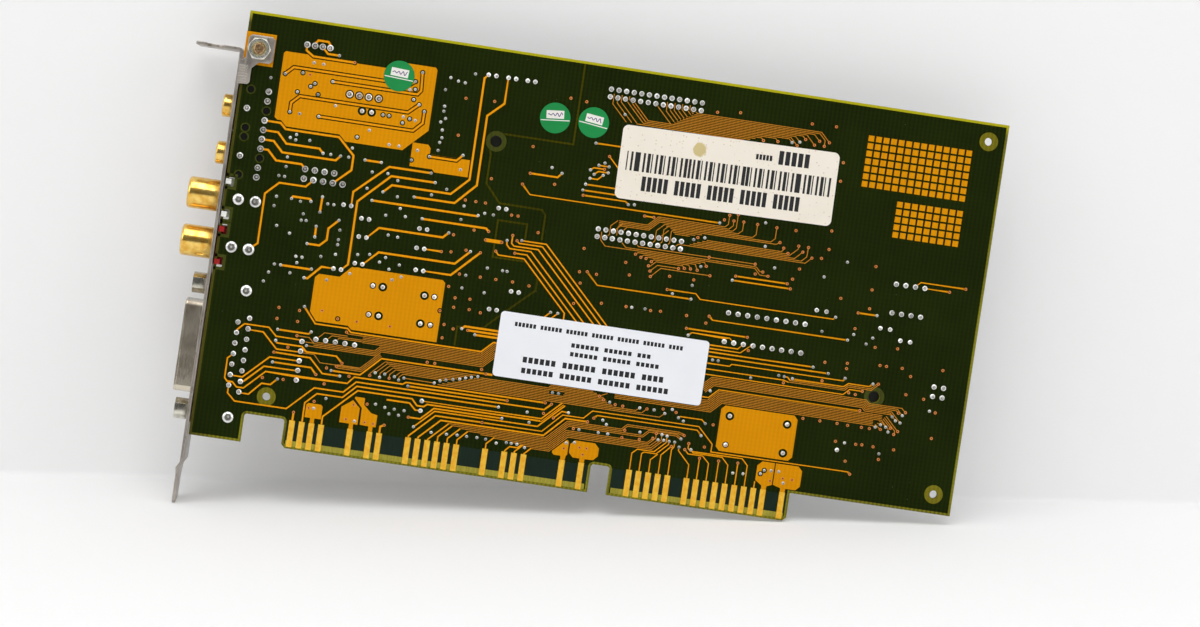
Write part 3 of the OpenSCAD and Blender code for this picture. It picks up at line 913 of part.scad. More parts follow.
module jack_ferrules() {
    color([0.93, 0.76, 0.3]) for (z = jack_rows) along_port(z, -ferrule_reach) rotate_extrude()
        polygon([[jack_bore_d / 2, 0.3], [jack_bore_d / 2 + 0.3, 0], [ferrule_d / 2 - 0.3, 0],
            [ferrule_d / 2, 0.3], [ferrule_d / 2, ferrule_reach],
            [ferrule_bore_d / 2 + 0.3, ferrule_reach], [ferrule_bore_d / 2 + 0.3, ferrule_reach + 3.2],
            [jack_bore_d / 2, ferrule_reach + 3.2]]);
}
// Flat spring contacts come out of each jack's back and go down through the card
spring_t = 0.4;
module jack_springs() {
    color([0.8, 0.78, 0.72]) for (p = jack_pins) put(p, 0)
        translate([-spring_t / 2, back_y, -spring_t]) cube([spring_t, board_t + 0.05, 2 * spring_t]);
}

// Phono sockets: a white and a red housing, each with a gold shell, cup and centre spring
phono_back = 11;
phono_side = 10.1;
phono_top = port_y + 5.6;
phono_bore = 3.2;
module phono_housing(z) {
    x0 = plate_x + jack_gap - contact_span / 2;
    difference() {
        union() {
            translate([x0, front_y + 0.05, z - phono_side / 2])
                cube([phono_back, phono_top - front_y - 0.05, phono_side]);
            for (s = [-1, 1]) translate([x0 + 0.3, back_y - 0.3,
                z + s * phono_leg_dz - phono_leg / 2]) cube([phono_leg, board_t + 0.5, phono_leg]);
            along_port(z, -phono_reach + 0.9) cylinder(d = phono_d - 1.3, h = phono_reach + 1);
        }
        along_port(z, -phono_reach) cylinder(d = phono_bore + 1.2, h = phono_reach + phono_back - 1);
        along_port(z, bracket_t - 0.5) difference() {
            cylinder(d = phono_neck_d, h = 3);
            translate([0, 0, -1]) cylinder(d = phono_d - 1.3, h = 5);
        }
    }
}
module white_phono_housing() {
    color([0.93, 0.93, 0.9]) phono_housing(phono_rows[0]);
}
module red_phono_housing() {
    color([0.72, 0.08, 0.06]) phono_housing(phono_rows[1]);
}
module phono_shells() {
    r = phono_d / 2;
    color([0.93, 0.72, 0.25]) for (z = phono_rows) along_port(z, -phono_reach) rotate_extrude()
        polygon([[r - 0.6, 0.5], [r - 0.9, 0.3], [r - 0.9, 0], [r - 0.4, 0], [r, 0.5],
            [r, phono_reach - 0.05], [phono_neck_d / 2, phono_reach - 0.05],
            [phono_neck_d / 2, phono_reach + bracket_t + 2.2],
            [r - 0.6, phono_reach + bracket_t + 2.2]]);
}
module phono_cups() {
    color([0.9, 0.7, 0.3]) for (z = phono_rows) along_port(z, -phono_reach + 1.4)
        rotate_extrude() polygon([[phono_bore / 2, 0], [phono_bore / 2 + 0.5, 0],
            [phono_bore / 2 + 0.5, phono_reach + 8], [0.6, phono_reach + 8], [0.6, phono_reach + 7.6],
            [phono_bore / 2, phono_reach + 7.6]]);
}
module phono_pins() {
    color([0.85, 0.84, 0.8]) for (z = phono_rows) {
        put([phono_blade_x, z], 0) translate([-0.25, back_y, -0.9]) cube([0.5, board_t + 0.05, 1.8]);
        put([phono_pin_x, z], 0) translate([-0.5, back_y, -0.5]) cube([1, board_t + 0.05, 1]);
    }
}

// Game port: a drawn steel shell round a moulded face with fifteen sockets
flange_t = 1;
port_back = 12.5;
insulator_len = jackscrew_span - 6.6;
socket_d = 1.2;
function port_sockets() = [for (r = [0, 1]) for (i = [0:7 - r])
    [port_y + (r == 0 ? 1.42 : -1.42), port_z + (3.5 - r / 2 - i) * port_pitch]];
module along_x(x, len) {
    translate([x - contact_span / 2, 0, 0]) rotate([90, 0, 90]) linear_extrude(len) children();
}
module game_port_shell() {
    color([0.68, 0.67, 0.63]) {
        difference() {
            union() {
                along_x(plate_out_x - port_reach, port_reach + bracket_t + flange_t)
                    translate([port_y, port_z]) port_profile(0);
                along_x(plate_x + jack_gap, flange_t) translate([port_y, port_z])
                    rounded(12.4, jackscrew_span + 6, 1.2);
            }
            along_x(plate_out_x - port_reach - 1, port_reach + 4) translate([port_y, port_z])
                port_profile(-0.5);
            along_x(plate_out_x - 1, 4) for (s = [-1, 1])
                translate([port_y, port_z + s * jackscrew_span / 2]) circle(d = lock_hole_d);
        }
    }
}
module game_port_insulator() {
    color([0.08, 0.08, 0.09]) difference() {
        union() {
            along_x(plate_out_x - port_reach + 0.4, port_reach + bracket_t + flange_t - 0.3)
                translate([port_y, port_z]) port_profile(-0.6);
            translate([plate_x + jack_gap + flange_t - contact_span / 2, front_y + 0.05,
                port_z - insulator_len / 2])
                cube([port_back - flange_t, port_y + 5.4 - front_y, insulator_len]);
        }
        along_x(plate_out_x - port_reach - 1, port_reach + 4)
            at(port_sockets()) circle(d = socket_d);
    }
}
module game_port_contacts() {
    color([0.9, 0.72, 0.3]) {
        along_x(plate_out_x - port_reach + 0.8, port_reach + bracket_t + 1) at(port_sockets())
            difference() {
                circle(d = socket_d);
                circle(d = 0.7);
            }
        for (p = port_pins) put(p, 0) translate([-0.3, back_y, -0.3])
            cube([0.6, board_t + 0.05, 0.6]);
    }
}
module game_port_locks() {
    color([0.75, 0.74, 0.7]) for (s = [-1, 1]) {
        z = port_z + s * jackscrew_span / 2;
        translate([plate_x + 3 - contact_span / 2, front_y, z - 2.8]) cube([8.6, 0.8, 5.6]);
        translate([plate_x + 3 - contact_span / 2, front_y + 0.8, z - 2.8]) cube([0.8, 9.6, 5.6]);
        put([port_lock_x, z], 0) difference() {
            translate([-0.7, back_y, -0.7]) cube([1.4, board_t, 1.4]);
            translate([-0.15, back_y - 1, -1]) cube([0.3, board_t, 2]);
        }
    }
}
jackscrew_h = 3.9;
module jackscrews() {
    color([0.74, 0.73, 0.7]) for (s = [-1, 1])
        along_port(port_z + s * jackscrew_span / 2, -jackscrew_h) difference() {
            union() {
                cylinder(d = jackscrew_af / cos(30), h = jackscrew_h, $fn = 6);
                cylinder(d = lock_hole_d - 0.4, h = jackscrew_h + bracket_t + flange_t + 2);
            }
            translate([0, 0, -1]) cylinder(d = 2.5, h = 4.4);
        }
}

// Leads that go down through the card, one square post for each place
module posts(places, side, top) {
    for (p = places) put(p, back_y) translate([-side / 2, 0, -side / 2])
        cube([side, top - back_y, side]);
}
module block(p, size, lift = 0.05) {
    put(p, front_y + lift) translate([-size[0] / 2, 0, -size[2] / 2]) cube(size);
}
// A block with a hollow, open away from the card
module shroud(p, size, wall, base) {
    difference() {
        block(p, size);
        put(p, front_y + base) translate([-size[0] / 2 + wall, 0, -size[2] / 2 + wall])
            cube([size[0] - 2 * wall, size[1], size[2] - 2 * wall]);
    }
}

// White four-pin inputs for disc drive audio
audio_size = [10, 5.6, 5];
audio_mid = [-7.3, 104.7];
post_w = 0.5;
module audio_connectors() {
    color([0.9, 0.89, 0.84]) difference() {
        shroud(audio_mid, audio_size, 0.8, 1.6);
        put(audio_mid, front_y + 2.6) translate([-1.4, 0, -4]) cube([2.8, 6, 4]);
        posts_at(audio_pins, post_w + 0.1);
    }
}
module posts_at(places, side) {
    for (p = places) put(p, front_y - 1) translate([-side / 2, 0, -side / 2])
        cube([side, 12, side]);
}
module audio_connector_pins() {
    color([0.82, 0.8, 0.72]) posts(audio_pins, post_w, front_y + 4.6);
}

// Two rows of sockets that carry a small memory board
memory_upper_mid = [memory_x + 6 * memory_pitch, 104.1];
memory_lower_mid = [memory_x + 6.5 * memory_pitch, 67.6];
module memory_sockets() {
    color([0.07, 0.07, 0.08]) for (u = [0, 1]) difference() {
        block(u == 0 ? memory_upper_mid : memory_lower_mid, [u == 0 ? 26.4 : 24.4, 4.4, 4.4]);
        posts_at(u == 0 ? memory_upper : memory_lower, post_w + 0.1);
    }
}
module memory_socket_pins() {
    color([0.86, 0.74, 0.4]) posts(concat(memory_upper, memory_lower), post_w, front_y + 3.6);
}

// Pin headers on the analogue side and at the far end, with two push-on links
header_w = 0.64;
module jumper_headers() {
    color([0.07, 0.07, 0.08]) difference() {
        union() {
            block([-6.2 + 1.5 * header_pitch, 72.7], [4 * header_pitch, 2.4, 2.5]);
            block([-6.2 + 2 * header_pitch, 70.16], [5 * header_pitch, 2.4, 2.5]);
            block(right_header_mid, [2 * header_pitch, 2.4, 2 * header_pitch]);
        }
        posts_at(concat(audio_header, right_header), header_w);
    }
}
module jumper_pins() {
    color([0.88, 0.76, 0.4]) posts(concat(audio_header, right_header), header_w, front_y + 8.5);
}
module jumper_caps() {
    color([0.1, 0.12, 0.5]) for (s = [-1, 1]) difference() {
        block(right_header_mid + [s * header_pitch / 2, 0], [2.3, 5.6, 4.9], 2.5);
        posts_at(right_header, header_w);
    }
}

// A flat pack is a moulded body with leads on four sides, bent down to the card
module gull(len, t = 0.15) {
    polygon([[0, 1.5], [len * 0.3, 1.5], [len * 0.45, t], [len, t], [len, 0], [len * 0.38, 0],
        [len * 0.24, 1.5 - t], [0, 1.5 - t]]);
}
module quad_body(p, w, d, h) {
    color([0.07, 0.07, 0.08]) put(p, front_y) {
        difference() {
            translate([-w / 2, 0.3, -d / 2]) cube([w, h, d]);
            for (s = [-1, 1]) {
                translate([s * w / 2, 0.1, 0]) rotate([0, 0, s * 8]) translate([s > 0 ? 0 : -2, -1, -d])
                    cube([2, h + 3, 2 * d]);
                translate([0, 0.1, s * d / 2]) rotate([-s * 8, 0, 0])
                    translate([-w, -1, s > 0 ? 0 : -2]) cube([2 * w, h + 3, 2]);
            }
            translate([-w / 2 + 1.6, h + 0.15, d / 2 - 1.6]) rotate([-90, 0, 0])
                cylinder(d = 1.4, h = 1);
        }
    }
}
// Leads along one side: n of them at a pitch, centred
module lead_row(n, pitch, w, len) {
    for (i = [0:n - 1]) translate([0, 0, (i - (n - 1) / 2) * pitch - w / 2])
        linear_extrude(w) gull(len);
}
module quad_leads(p, w, d, nx, nz, pitch, lead_w = 0.3, len = 1.7, tuck = 0.15) {
    color([0.8, 0.8, 0.78]) put(p, front_y) {
        translate([w / 2 - tuck, 0, 0]) lead_row(nz, pitch, lead_w, len);
        rotate([0, 180, 0]) translate([w / 2 - tuck, 0, 0]) lead_row(nz, pitch, lead_w, len);
        rotate([0, 90, 0]) translate([d / 2 - tuck, 0, 0]) lead_row(nx, pitch, lead_w, len);
        rotate([0, -90, 0]) translate([d / 2 - tuck, 0, 0]) lead_row(nx, pitch, lead_w, len);
    }
}
processor_at = [77, 33.5];
processor_w = 28;
module sound_processor() {
    quad_body(processor_at, processor_w, processor_w, 3.4);
}
module sound_processor_leads() {
    quad_leads(processor_at, processor_w, processor_w, 36, 36, 0.7, 0.3);
}
controller_at = [87, 87.5];
controller_w = 20;
controller_d = 14;
module bus_controller() {
    quad_body(controller_at, controller_w, controller_d, 2.7);
}
module bus_controller_leads() {
    quad_leads(controller_at, controller_w, controller_d, 28, 20, 0.65, 0.3);
}
converter_at = [52, 61];
converter_w = 10;
module converter_chip() {
    quad_body(converter_at, converter_w, converter_w, 2.4);
}
module converter_leads() {
    quad_leads(converter_at, converter_w, converter_w, 11, 11, 0.8, 0.35);
}

// Small outline chips have leads on two sides
module small_body(p, w, d, h) {
    color([0.07, 0.07, 0.08]) put(p, front_y) difference() {
        translate([-w / 2, 0.3, -d / 2]) cube([w, h, d]);
        for (s = [-1, 1]) translate([0, 0.1, s * d / 2]) rotate([-s * 8, 0, 0])
            translate([-w, -1, s > 0 ? 0 : -2]) cube([2 * w, h + 3, 2]);
        translate([-w / 2, h + 0.15, 0]) rotate([-90, 0, 0]) cylinder(d = 1.6, h = 1);
    }
}
module small_leads(p, d, n, pitch, lead_w, len) {
    color([0.8, 0.8, 0.78]) put(p, front_y) {
        rotate([0, 90, 0]) translate([d / 2 - 0.15, 0, 0]) lead_row(n, pitch, lead_w, len);
        rotate([0, -90, 0]) translate([d / 2 - 0.15, 0, 0]) lead_row(n, pitch, lead_w, len);
    }
}
memory_at = [[114, 86], [136, 86], [far_x - 26.2, 35.7]];
memory_w = 17.2;
memory_d = 7.6;
module memory_chips() {
    for (p = memory_at) small_body(p, memory_w, memory_d, 2.6);
}
module memory_leads() {
    for (p = memory_at) small_leads(p, memory_d, 13, header_pitch / 2, 0.45, 1.5);
}
amplifier_at = [[1, 87], [17, 94], [14, 70], [31, 78], [2, 55], [41.8, 87.2]];
module amplifier_chips() {
    for (p = amplifier_at) small_body(p, 4.9, 3.9, 1.4);
}
module amplifier_leads() {
    for (p = amplifier_at) small_leads(p, 3.9, 4, header_pitch / 2, 0.42, 1.15);
}

// Chips in two rows of through leads, 7.62 apart
dip_w = 6.4;
dip_h = 3.4;
dip_rise = 0.8;
dip_places = [[108.5, 44.3, 9], [151, 58.2, 4]];
module dip_chips() {
    color([0.07, 0.07, 0.08]) for (p = dip_places) {
        len = (p[2] - 1) * header_pitch + 2.4;
        put([p[0] + (p[2] - 1) * header_pitch / 2, p[1] + dip_row / 2], front_y + dip_rise)
            difference() {
                translate([-len / 2, 0, -dip_w / 2]) cube([len, dip_h, dip_w]);
                for (s = [-1, 1]) translate([0, dip_h / 2, s * dip_w / 2]) rotate([-s * 7, 0, 0])
                    translate([-len, 0, s > 0 ? 0 : -2]) cube([2 * len, dip_h, 2]);
                translate([-len / 2, dip_h - 0.4, 0]) rotate([-90, 0, 0]) cylinder(d = 1.8, h = 1);
            }
    }
}
module dip_leads() {
    shoulder_w = 1.4;
    post = 0.5;
    rise = front_y + dip_rise + dip_h / 2;
    color([0.8, 0.8, 0.78]) for (p = dip_places) for (i = [0:p[2] - 1]) for (s = [-1, 1]) {
        z = p[1] + (s > 0 ? dip_row : 0);
        put([p[0] + i * header_pitch, z], 0) {
            translate([-post / 2, back_y, -0.12]) cube([post, rise - back_y, 0.24]);
            translate([-shoulder_w / 2, front_y + 0.6, -0.12])
                cube([shoulder_w, rise - front_y - 0.6, 0.24]);
            translate([-shoulder_w / 2, rise - 0.25, s > 0 ? -(dip_row - dip_w) / 2 : 0])
                cube([shoulder_w, 0.25, (dip_row - dip_w) / 2]);
        }
    }
}

// Regulators are surface-mounted blocks on a steel tab, with two formed leads
regulator_at = [[3.5, 97.5], [31, 92]];
regulator_tab = 1.1;
module voltage_regulators() {
    color([0.08, 0.08, 0.09]) for (p = regulator_at) put(p, front_y) {
        difference() {
            translate([-3.2, 0, -3]) cube([6.4, 2.3, 6]);
            translate([-4, 2.3, -3]) rotate([0, 0, -20]) translate([-1, -0.4, -1]) cube([3, 3, 8]);
        }
        translate([-2.6, 0, 3]) cube([5.2, 0.5, regulator_tab]);
        for (x = [-2.28, 2.28]) translate([x - 0.4, 0, -3]) rotate([0, 90, 0])
            linear_extrude(0.8) gull(2.4, 0.5);
    }
}

// Oscillators are welded steel cans on four leads
module oscillator_cans() {
    color([0.78, 0.78, 0.76]) for (p = oscillators)
        put([p[0] + can_pitch / 2, p[1] + dip_row / 2], front_y + 0.4) rotate([-90, 0, 0]) {
            linear_extrude(0.6) rounded(20.6, 13, 2);
            linear_extrude(5.2) rounded(19.4, 11.8, 1.6);
        }
    color([0.78, 0.78, 0.76]) posts(oscillator_pins, 0.45, front_y + 0.4);
}

// Electrolytic capacitors: a can in a printed sleeve on two leads
can_wall = 0.12;
sleeve_turn = 0.35;
module each_capacitor() {
    for (c = concat(small_caps, turned_caps)) put(c, front_y + 0.1) rotate([-90, 0, 0]) capacitor_form($cap_part,
        small_cap_d, 7);
    for (c = large_caps) put(c, front_y + 0.1) rotate([-90, 0, 0]) capacitor_form($cap_part,
        large_cap_d, 11);
}
module capacitor_form(part, d, h) {
    r = d / 2;
    if (part == "sleeve") rotate_extrude() polygon([[r - can_wall, 0], [r, 0.3], [r, 1],
        [r - 0.25, 1.4], [r, 1.8], [r, h - sleeve_turn], [r - sleeve_turn, h],
        [r - 0.9, h], [r - 0.9, h - can_wall], [r - sleeve_turn - 0.05, h - can_wall],
        [r - can_wall, h - sleeve_turn - 0.05], [r - can_wall, 1.9], [r - 0.25 - can_wall, 1.4],
        [r - can_wall, 0.9]]);
    else rotate_extrude() polygon([[0, 0.2], [r - can_wall, 0.2], [r - can_wall, 0.9],
        [r - 0.25 - can_wall, 1.4], [r - can_wall, 1.9], [r - can_wall, h - sleeve_turn - 0.05],
        [r - sleeve_turn - 0.05, h - can_wall], [0, h - can_wall]]);
}
module capacitor_sleeves() {
    $cap_part = "sleeve";
    color([0.08, 0.1, 0.3]) each_capacitor();
}
module capacitor_cans() {
    $cap_part = "can";
    color([0.75, 0.76, 0.77]) each_capacitor();
}
module capacitor_leads() {
    color([0.8, 0.8, 0.78]) {
        for (p = cap_pins) put(p, front_y + 0.3) rotate([90, 0, 0])
            cylinder(d = 0.5, h = board_t + 0.3);
    }
}

// Resistor networks are moulded strips on five leads
module resistor_networks() {
    color([0.12, 0.12, 0.14]) {
        block([-0.5, 28.2 - 2 * header_pitch], [2.3, 5, 12.6], 0.9);
        block([3 + 2 * header_pitch, 29.3], [12.6, 5, 2.3], 0.9);
    }
    color([0.8, 0.8, 0.78]) posts(concat(network_column, network_row), post_w, front_y + 0.9);
}

// Surface-mounted parts: a body between two plated ends
chip_cap_at = [[41, 72], [42, 66], [42, 60], [60, 70], [60, 64], [60, 54], [95.5, 46], [58, 43],
    [58, 24], [96, 24], [77, 51], [77, 16], [74, 96], [100, 96], [74, 80], [102, 80], [106, 92],
    [126, 92], [128, 80], [146, 92], [146, 80], [far_x - 37.7, 33], [far_x - 14, 33], [139, 21],
    [18, 88], [12, 94],
    [24, 92], [9, 82], [20, 72], [36, 70], [6.5, 57.5], [-4, 58], [-9, 60], [90, 12], [110, 12], [60, 12]];
chip_resistor_at = [[-10, 95], [-7, 95], [-4, 95], [-10, 88], [-7, 88], [-4, 92], [26, 99], [29, 99],
    [32, 99], [27, 84], [31, 84], [16, 80], [20, 79], [-12, 78], [-9, 78], [-6, 79], [10, 74],
    [-10, 52], [-7, 52], [-10, 48], [-7, 48], [12, 24], [15, 24], [18, 24], [12, 13], [15, 13],
    [118, 70], [122, 70], [126, 70], [140, 70], [144, 70], [118, 60], [122, 60], [far_x - 14, 50],
    [far_x - 10, 50], [far_x - 14, 22], [far_x - 10, 22], [34, 24], [38, 24]];
module chip_part(p, size, end) {
    block(p, [size[0] - 2 * end, size[1] * 0.92, size[2]], 0);
    for (s = [-1, 1]) block([p[0] + s * (size[0] - end) / 2, p[1]], [end, size[1], size[2]], 0);
}
module chip_capacitors() {
    color([0.72, 0.6, 0.45]) for (p = chip_cap_at) chip_part(p, [2, 0.9, 1.25], 0.4);
}
module chip_resistors() {
    color([0.1, 0.1, 0.11]) for (p = chip_resistor_at) chip_part(p, [2, 0.55, 1.25], 0.35);
}

// Paper labels on the solder side, lying on the copper, with plain printed fields
barcode_mid = [102.8, 87.4];
barcode_turn = 0.9;
label_mid = [77.25, 35.25];
sticker_at = [[14.4, 100.2], [56.1, 95.5], [66.2, 95.8]];
print_t = 0.02;
module barcode_label() {
    color([0.93, 0.91, 0.86]) on_back(paper_t, copper_t) translate(barcode_mid)
        rotate(barcode_turn) rounded(barcode_len, barcode_w, 1.5);
}
module plain_label() {
    color([0.93, 0.94, 0.96]) on_back(paper_t, copper_t) translate(label_mid)
        rounded(label_len, label_w, 1);
}
module round_stickers() {
    color([0, 0.55, 0.3]) on_back(paper_t, copper_t) at(sticker_at) circle(d = sticker_d);
}
// The print is plain bars: uneven ones across the barcode label, and rows of small blocks
bar_count = 50;
bar_h = 5;
row_w = 1.45;
function bar_w(i) = 0.3 + 0.25 * ((i * 7) % 3) + (i % 13 == 2 ? 0.35 : 0);
module print_row(from, n, w, h, skip = 7) {
    for (i = [0:n - 1]) if (i % skip != skip - 1) translate([from[0] + i * w, from[1]]) square([w * 0.72, h]);
}
module label_print() {
    color([0.1, 0.1, 0.1]) on_back(print_t, copper_t + paper_t) {
        translate(barcode_mid) rotate(barcode_turn) {
            for (i = [0:bar_count - 1]) translate([-26.7 + i * 54.4 / bar_count, -2.1]) square([bar_w(i), bar_h]);
            print_row([-22, -7], 30, row_w, 3.8, 6);
            print_row([6.8, 5.2], 5, 0.9, 1.4);
            print_row([12.8, 4.6], 5, 1.7, 3.6);
        }
        translate(label_mid) {
            print_row([-23.6, 5.1], 46, 0.97, 1.1);
            print_row([-8.2, 1.7], 17, 1.25, 1.1);
            print_row([-8.2, -0.6], 19, 1.25, 1.1);
            print_row([-20.2, -4], 25, 1.5, 1.5);
            print_row([-20.2, -6.8], 27, 1.45, 1.4);
        }
    }
}

circuit_board();
copper_areas();
copper_tracks();
fine_tracks();
plated_holes();
tinned_holes();
solder_joints();
solder_contacts();
component_contacts();
bracket();
bracket_screw();
bracket_nut();
headphone_jacks();
jack_ferrules();
jack_springs();
white_phono_housing();
red_phono_housing();
phono_shells();
phono_cups();
phono_pins();
game_port_shell();
game_port_insulator();
game_port_contacts();
game_port_locks();
jackscrews();
audio_connectors();
audio_connector_pins();
memory_sockets();
memory_socket_pins();
jumper_headers();
jumper_pins();
jumper_caps();
sound_processor();
sound_processor_leads();
bus_controller();
bus_controller_leads();
converter_chip();
converter_leads();
memory_chips();
memory_leads();
dip_chips();
dip_leads();
amplifier_chips();
amplifier_leads();
voltage_regulators();
oscillator_cans();
capacitor_sleeves();
capacitor_cans();
capacitor_leads();
resistor_networks();
chip_capacitors();
chip_resistors();
barcode_label();
plain_label();
round_stickers();
label_print();
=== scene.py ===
import math

import bmesh
import bpy
import numpy as np
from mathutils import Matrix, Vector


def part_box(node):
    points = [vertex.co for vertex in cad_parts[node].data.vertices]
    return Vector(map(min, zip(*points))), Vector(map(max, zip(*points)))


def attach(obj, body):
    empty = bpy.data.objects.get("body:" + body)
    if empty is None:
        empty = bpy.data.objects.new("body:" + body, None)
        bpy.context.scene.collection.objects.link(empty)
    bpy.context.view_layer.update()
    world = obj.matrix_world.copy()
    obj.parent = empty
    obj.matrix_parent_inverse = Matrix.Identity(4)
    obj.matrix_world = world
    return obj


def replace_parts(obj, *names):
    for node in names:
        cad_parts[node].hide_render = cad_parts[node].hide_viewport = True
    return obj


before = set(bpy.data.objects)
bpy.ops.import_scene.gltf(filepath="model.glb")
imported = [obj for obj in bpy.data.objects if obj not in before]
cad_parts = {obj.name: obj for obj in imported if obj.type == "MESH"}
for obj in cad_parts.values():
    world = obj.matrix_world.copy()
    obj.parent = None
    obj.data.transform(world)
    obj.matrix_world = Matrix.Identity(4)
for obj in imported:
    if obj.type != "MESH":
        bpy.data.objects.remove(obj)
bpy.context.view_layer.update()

# Camera: the photograph's own place, 0.9 m in front of the solder side, with a 105 mm lens.
# It is a little to the left of the card's middle and rolled, so the card leans to the right.
camera_place = (-0.035749, -0.913444, 0.076271)
camera_turn = (88.1324, -8.5349, -2.6210)
photo_camera = bpy.data.cameras.new("photo_camera")
photo_camera.sensor_width = 36
photo_camera.lens = 105
photo_camera.clip_start = 0.05
photo_camera.clip_end = 20
camera_object = bpy.data.objects.new("photo_camera", photo_camera)
camera_object.location = camera_place
camera_object.rotation_euler = [math.radians(angle) for angle in camera_turn]
bpy.context.collection.objects.link(camera_object)
bpy.context.scene.camera = camera_object
bpy.context.scene.view_settings.view_transform = "Standard"

# Stage: a white floor that turns up into a white wall close behind the card, as one bent sheet.
# The card leans, so the floor runs level across the picture, through the bracket's tip and the
# tongue's corner. From behind and from below the sheet is clear, so it never hides the card.
floor_left = np.array([-0.0925, 0.0, -0.0192])
floor_right = np.array([0.0667, 0.0, -0.0002])
floor_pitch = math.radians(7.0)
wall_gap = 0.034
sweep_r = 0.0015
stage_reach = 3.0
paper_white = (0.9, 0.9, 0.9, 1)
paper_glow = 0.2


def unit(v):
    """A vector at a length of 1."""
    return v / np.linalg.norm(v)


def grid_faces(rows, columns, ring_rows=False, ring_columns=False, flip=False):
    """Four-sided faces between the points of a grid that is stored row by row. A ring joins its
    last row or column to its first, and flip turns the faces over."""
    i, j = np.meshgrid(np.arange(rows if ring_rows else rows - 1),
                       np.arange(columns if ring_columns else columns - 1), indexing="ij")
    here = i * columns
    below = (i + 1) % rows * columns
    beside = (j + 1) % columns
    corners = [here + j, below + j, below + beside, here + beside]
    if flip:
        corners = [corners[0], *corners[:0:-1]]
    return np.stack(corners, axis=-1).reshape(-1, 4)


def bent_sheet(name, along, back, up, start, steps=12):
    """A flat floor, a quarter-round bend of radius sweep_r and a flat wall, swept straight along
    one direction: each profile point p gives the two edge points p -+ stage_reach * along."""
    turn = np.linspace(0.0, math.pi / 2, steps)
    bend = (start + np.outer(wall_gap - sweep_r + sweep_r * np.sin(turn), back) +
            np.outer(sweep_r * (1 - np.cos(turn)), up))
    profile = np.vstack([start - stage_reach * back, bend, bend[-1] + stage_reach * up])
    points = np.vstack([profile - stage_reach * along, profile + stage_reach * along])
    mesh = bpy.data.meshes.new(name)
    mesh.from_pydata(points.tolist(), [], grid_faces(2, len(profile)).tolist())
    mesh.polygons.foreach_set("use_smooth", [True] * len(mesh.polygons))
    sheet = bpy.data.objects.new(name, mesh)
    bpy.context.collection.objects.link(sheet)
    return sheet


def add(tree, kind, inputs=None, **settings):
    """A node with its settings, and with its inputs by name or place. An input is given as a value
    or as another node's output."""
    node = tree.nodes.new(kind)
    for name, value in settings.items():
        setattr(node, name, value)
    for socket, value in (inputs or {}).items():
        if isinstance(value, bpy.types.NodeSocket):
            tree.links.new(value, node.inputs[socket])
        else:
            node.inputs[socket].default_value = value
    return node


def calc(tree, operation, *values):
    """The result of a Math node on values or other nodes' outputs."""
    return add(tree, "ShaderNodeMath", dict(enumerate(values)), operation=operation).outputs[0]


across = unit(floor_right - floor_left)
level_up = unit(np.array([-across[2], 0.0, across[0]]))
floor_back = unit(math.cos(floor_pitch) * np.array([0.0, 1.0, 0.0]) + math.sin(floor_pitch) * level_up)
backdrop = bent_sheet("backdrop", across, floor_back, np.cross(across, floor_back), floor_left)
backdrop_paper = bpy.data.materials.new("backdrop_white")
backdrop_paper.use_nodes = True
tree = backdrop_paper.node_tree
tree.nodes.clear()
seen = add(tree, "ShaderNodeLightPath").outputs
rays = calc(tree, "MAXIMUM", seen["Is Camera Ray"], seen["Is Glossy Ray"])
diffuse = add(tree, "ShaderNodeBsdfDiffuse", {"Color": paper_white})
glow = add(tree, "ShaderNodeEmission", {"Color": (1, 1, 1, 1)})
lit = add(tree, "ShaderNodeMixShader", {0: calc(tree, "MULTIPLY", rays, paper_glow),
                                        1: diffuse.outputs[0], 2: glow.outputs[0]})
clear = add(tree, "ShaderNodeBsdfTransparent")
side = add(tree, "ShaderNodeNewGeometry")
both = add(tree, "ShaderNodeMixShader", {0: side.outputs["Backfacing"], 1: lit.outputs[0],
                                         2: clear.outputs[0]})
add(tree, "ShaderNodeOutputMaterial", {"Surface": both.outputs[0]})
backdrop.data.materials.append(backdrop_paper)

# Light: one broad soft lamp above and in front, one on each side, and a dim white room. What
# metal mirrors of the room is white above, beside and below, and dark behind the camera.
card_middle = (0.0, 0.0, 0.05)
room_level = 0.35
dark_behind = {"start": 0.05, "low": -0.95, "high": -0.55}


def ramp(tree, value, low, high, start=0.0, end=1.0):
    """A result that goes from start to end while the value goes from low to high."""
    return add(tree, "ShaderNodeMapRange", {"Value": value, "From Min": low, "From Max": high,
                                            "To Min": start, "To Max": end}).outputs[0]


def soft_lamp(name, place, aim, size, power):
    """A square area lamp at a place, turned to face the aim point."""
    lamp = bpy.data.lights.new(name, "AREA")
    lamp.shape = "SQUARE"
    lamp.size = size
    lamp.energy = power
    lamp_object = bpy.data.objects.new(name, lamp)
    lamp_object.location = place
    direction = [a - p for a, p in zip(aim, place)]
    reach = math.hypot(direction[0], direction[1])
    lamp_object.rotation_euler = (math.atan2(reach, -direction[2]), 0,
                                  math.atan2(-direction[0], direction[1]))
    bpy.context.collection.objects.link(lamp_object)


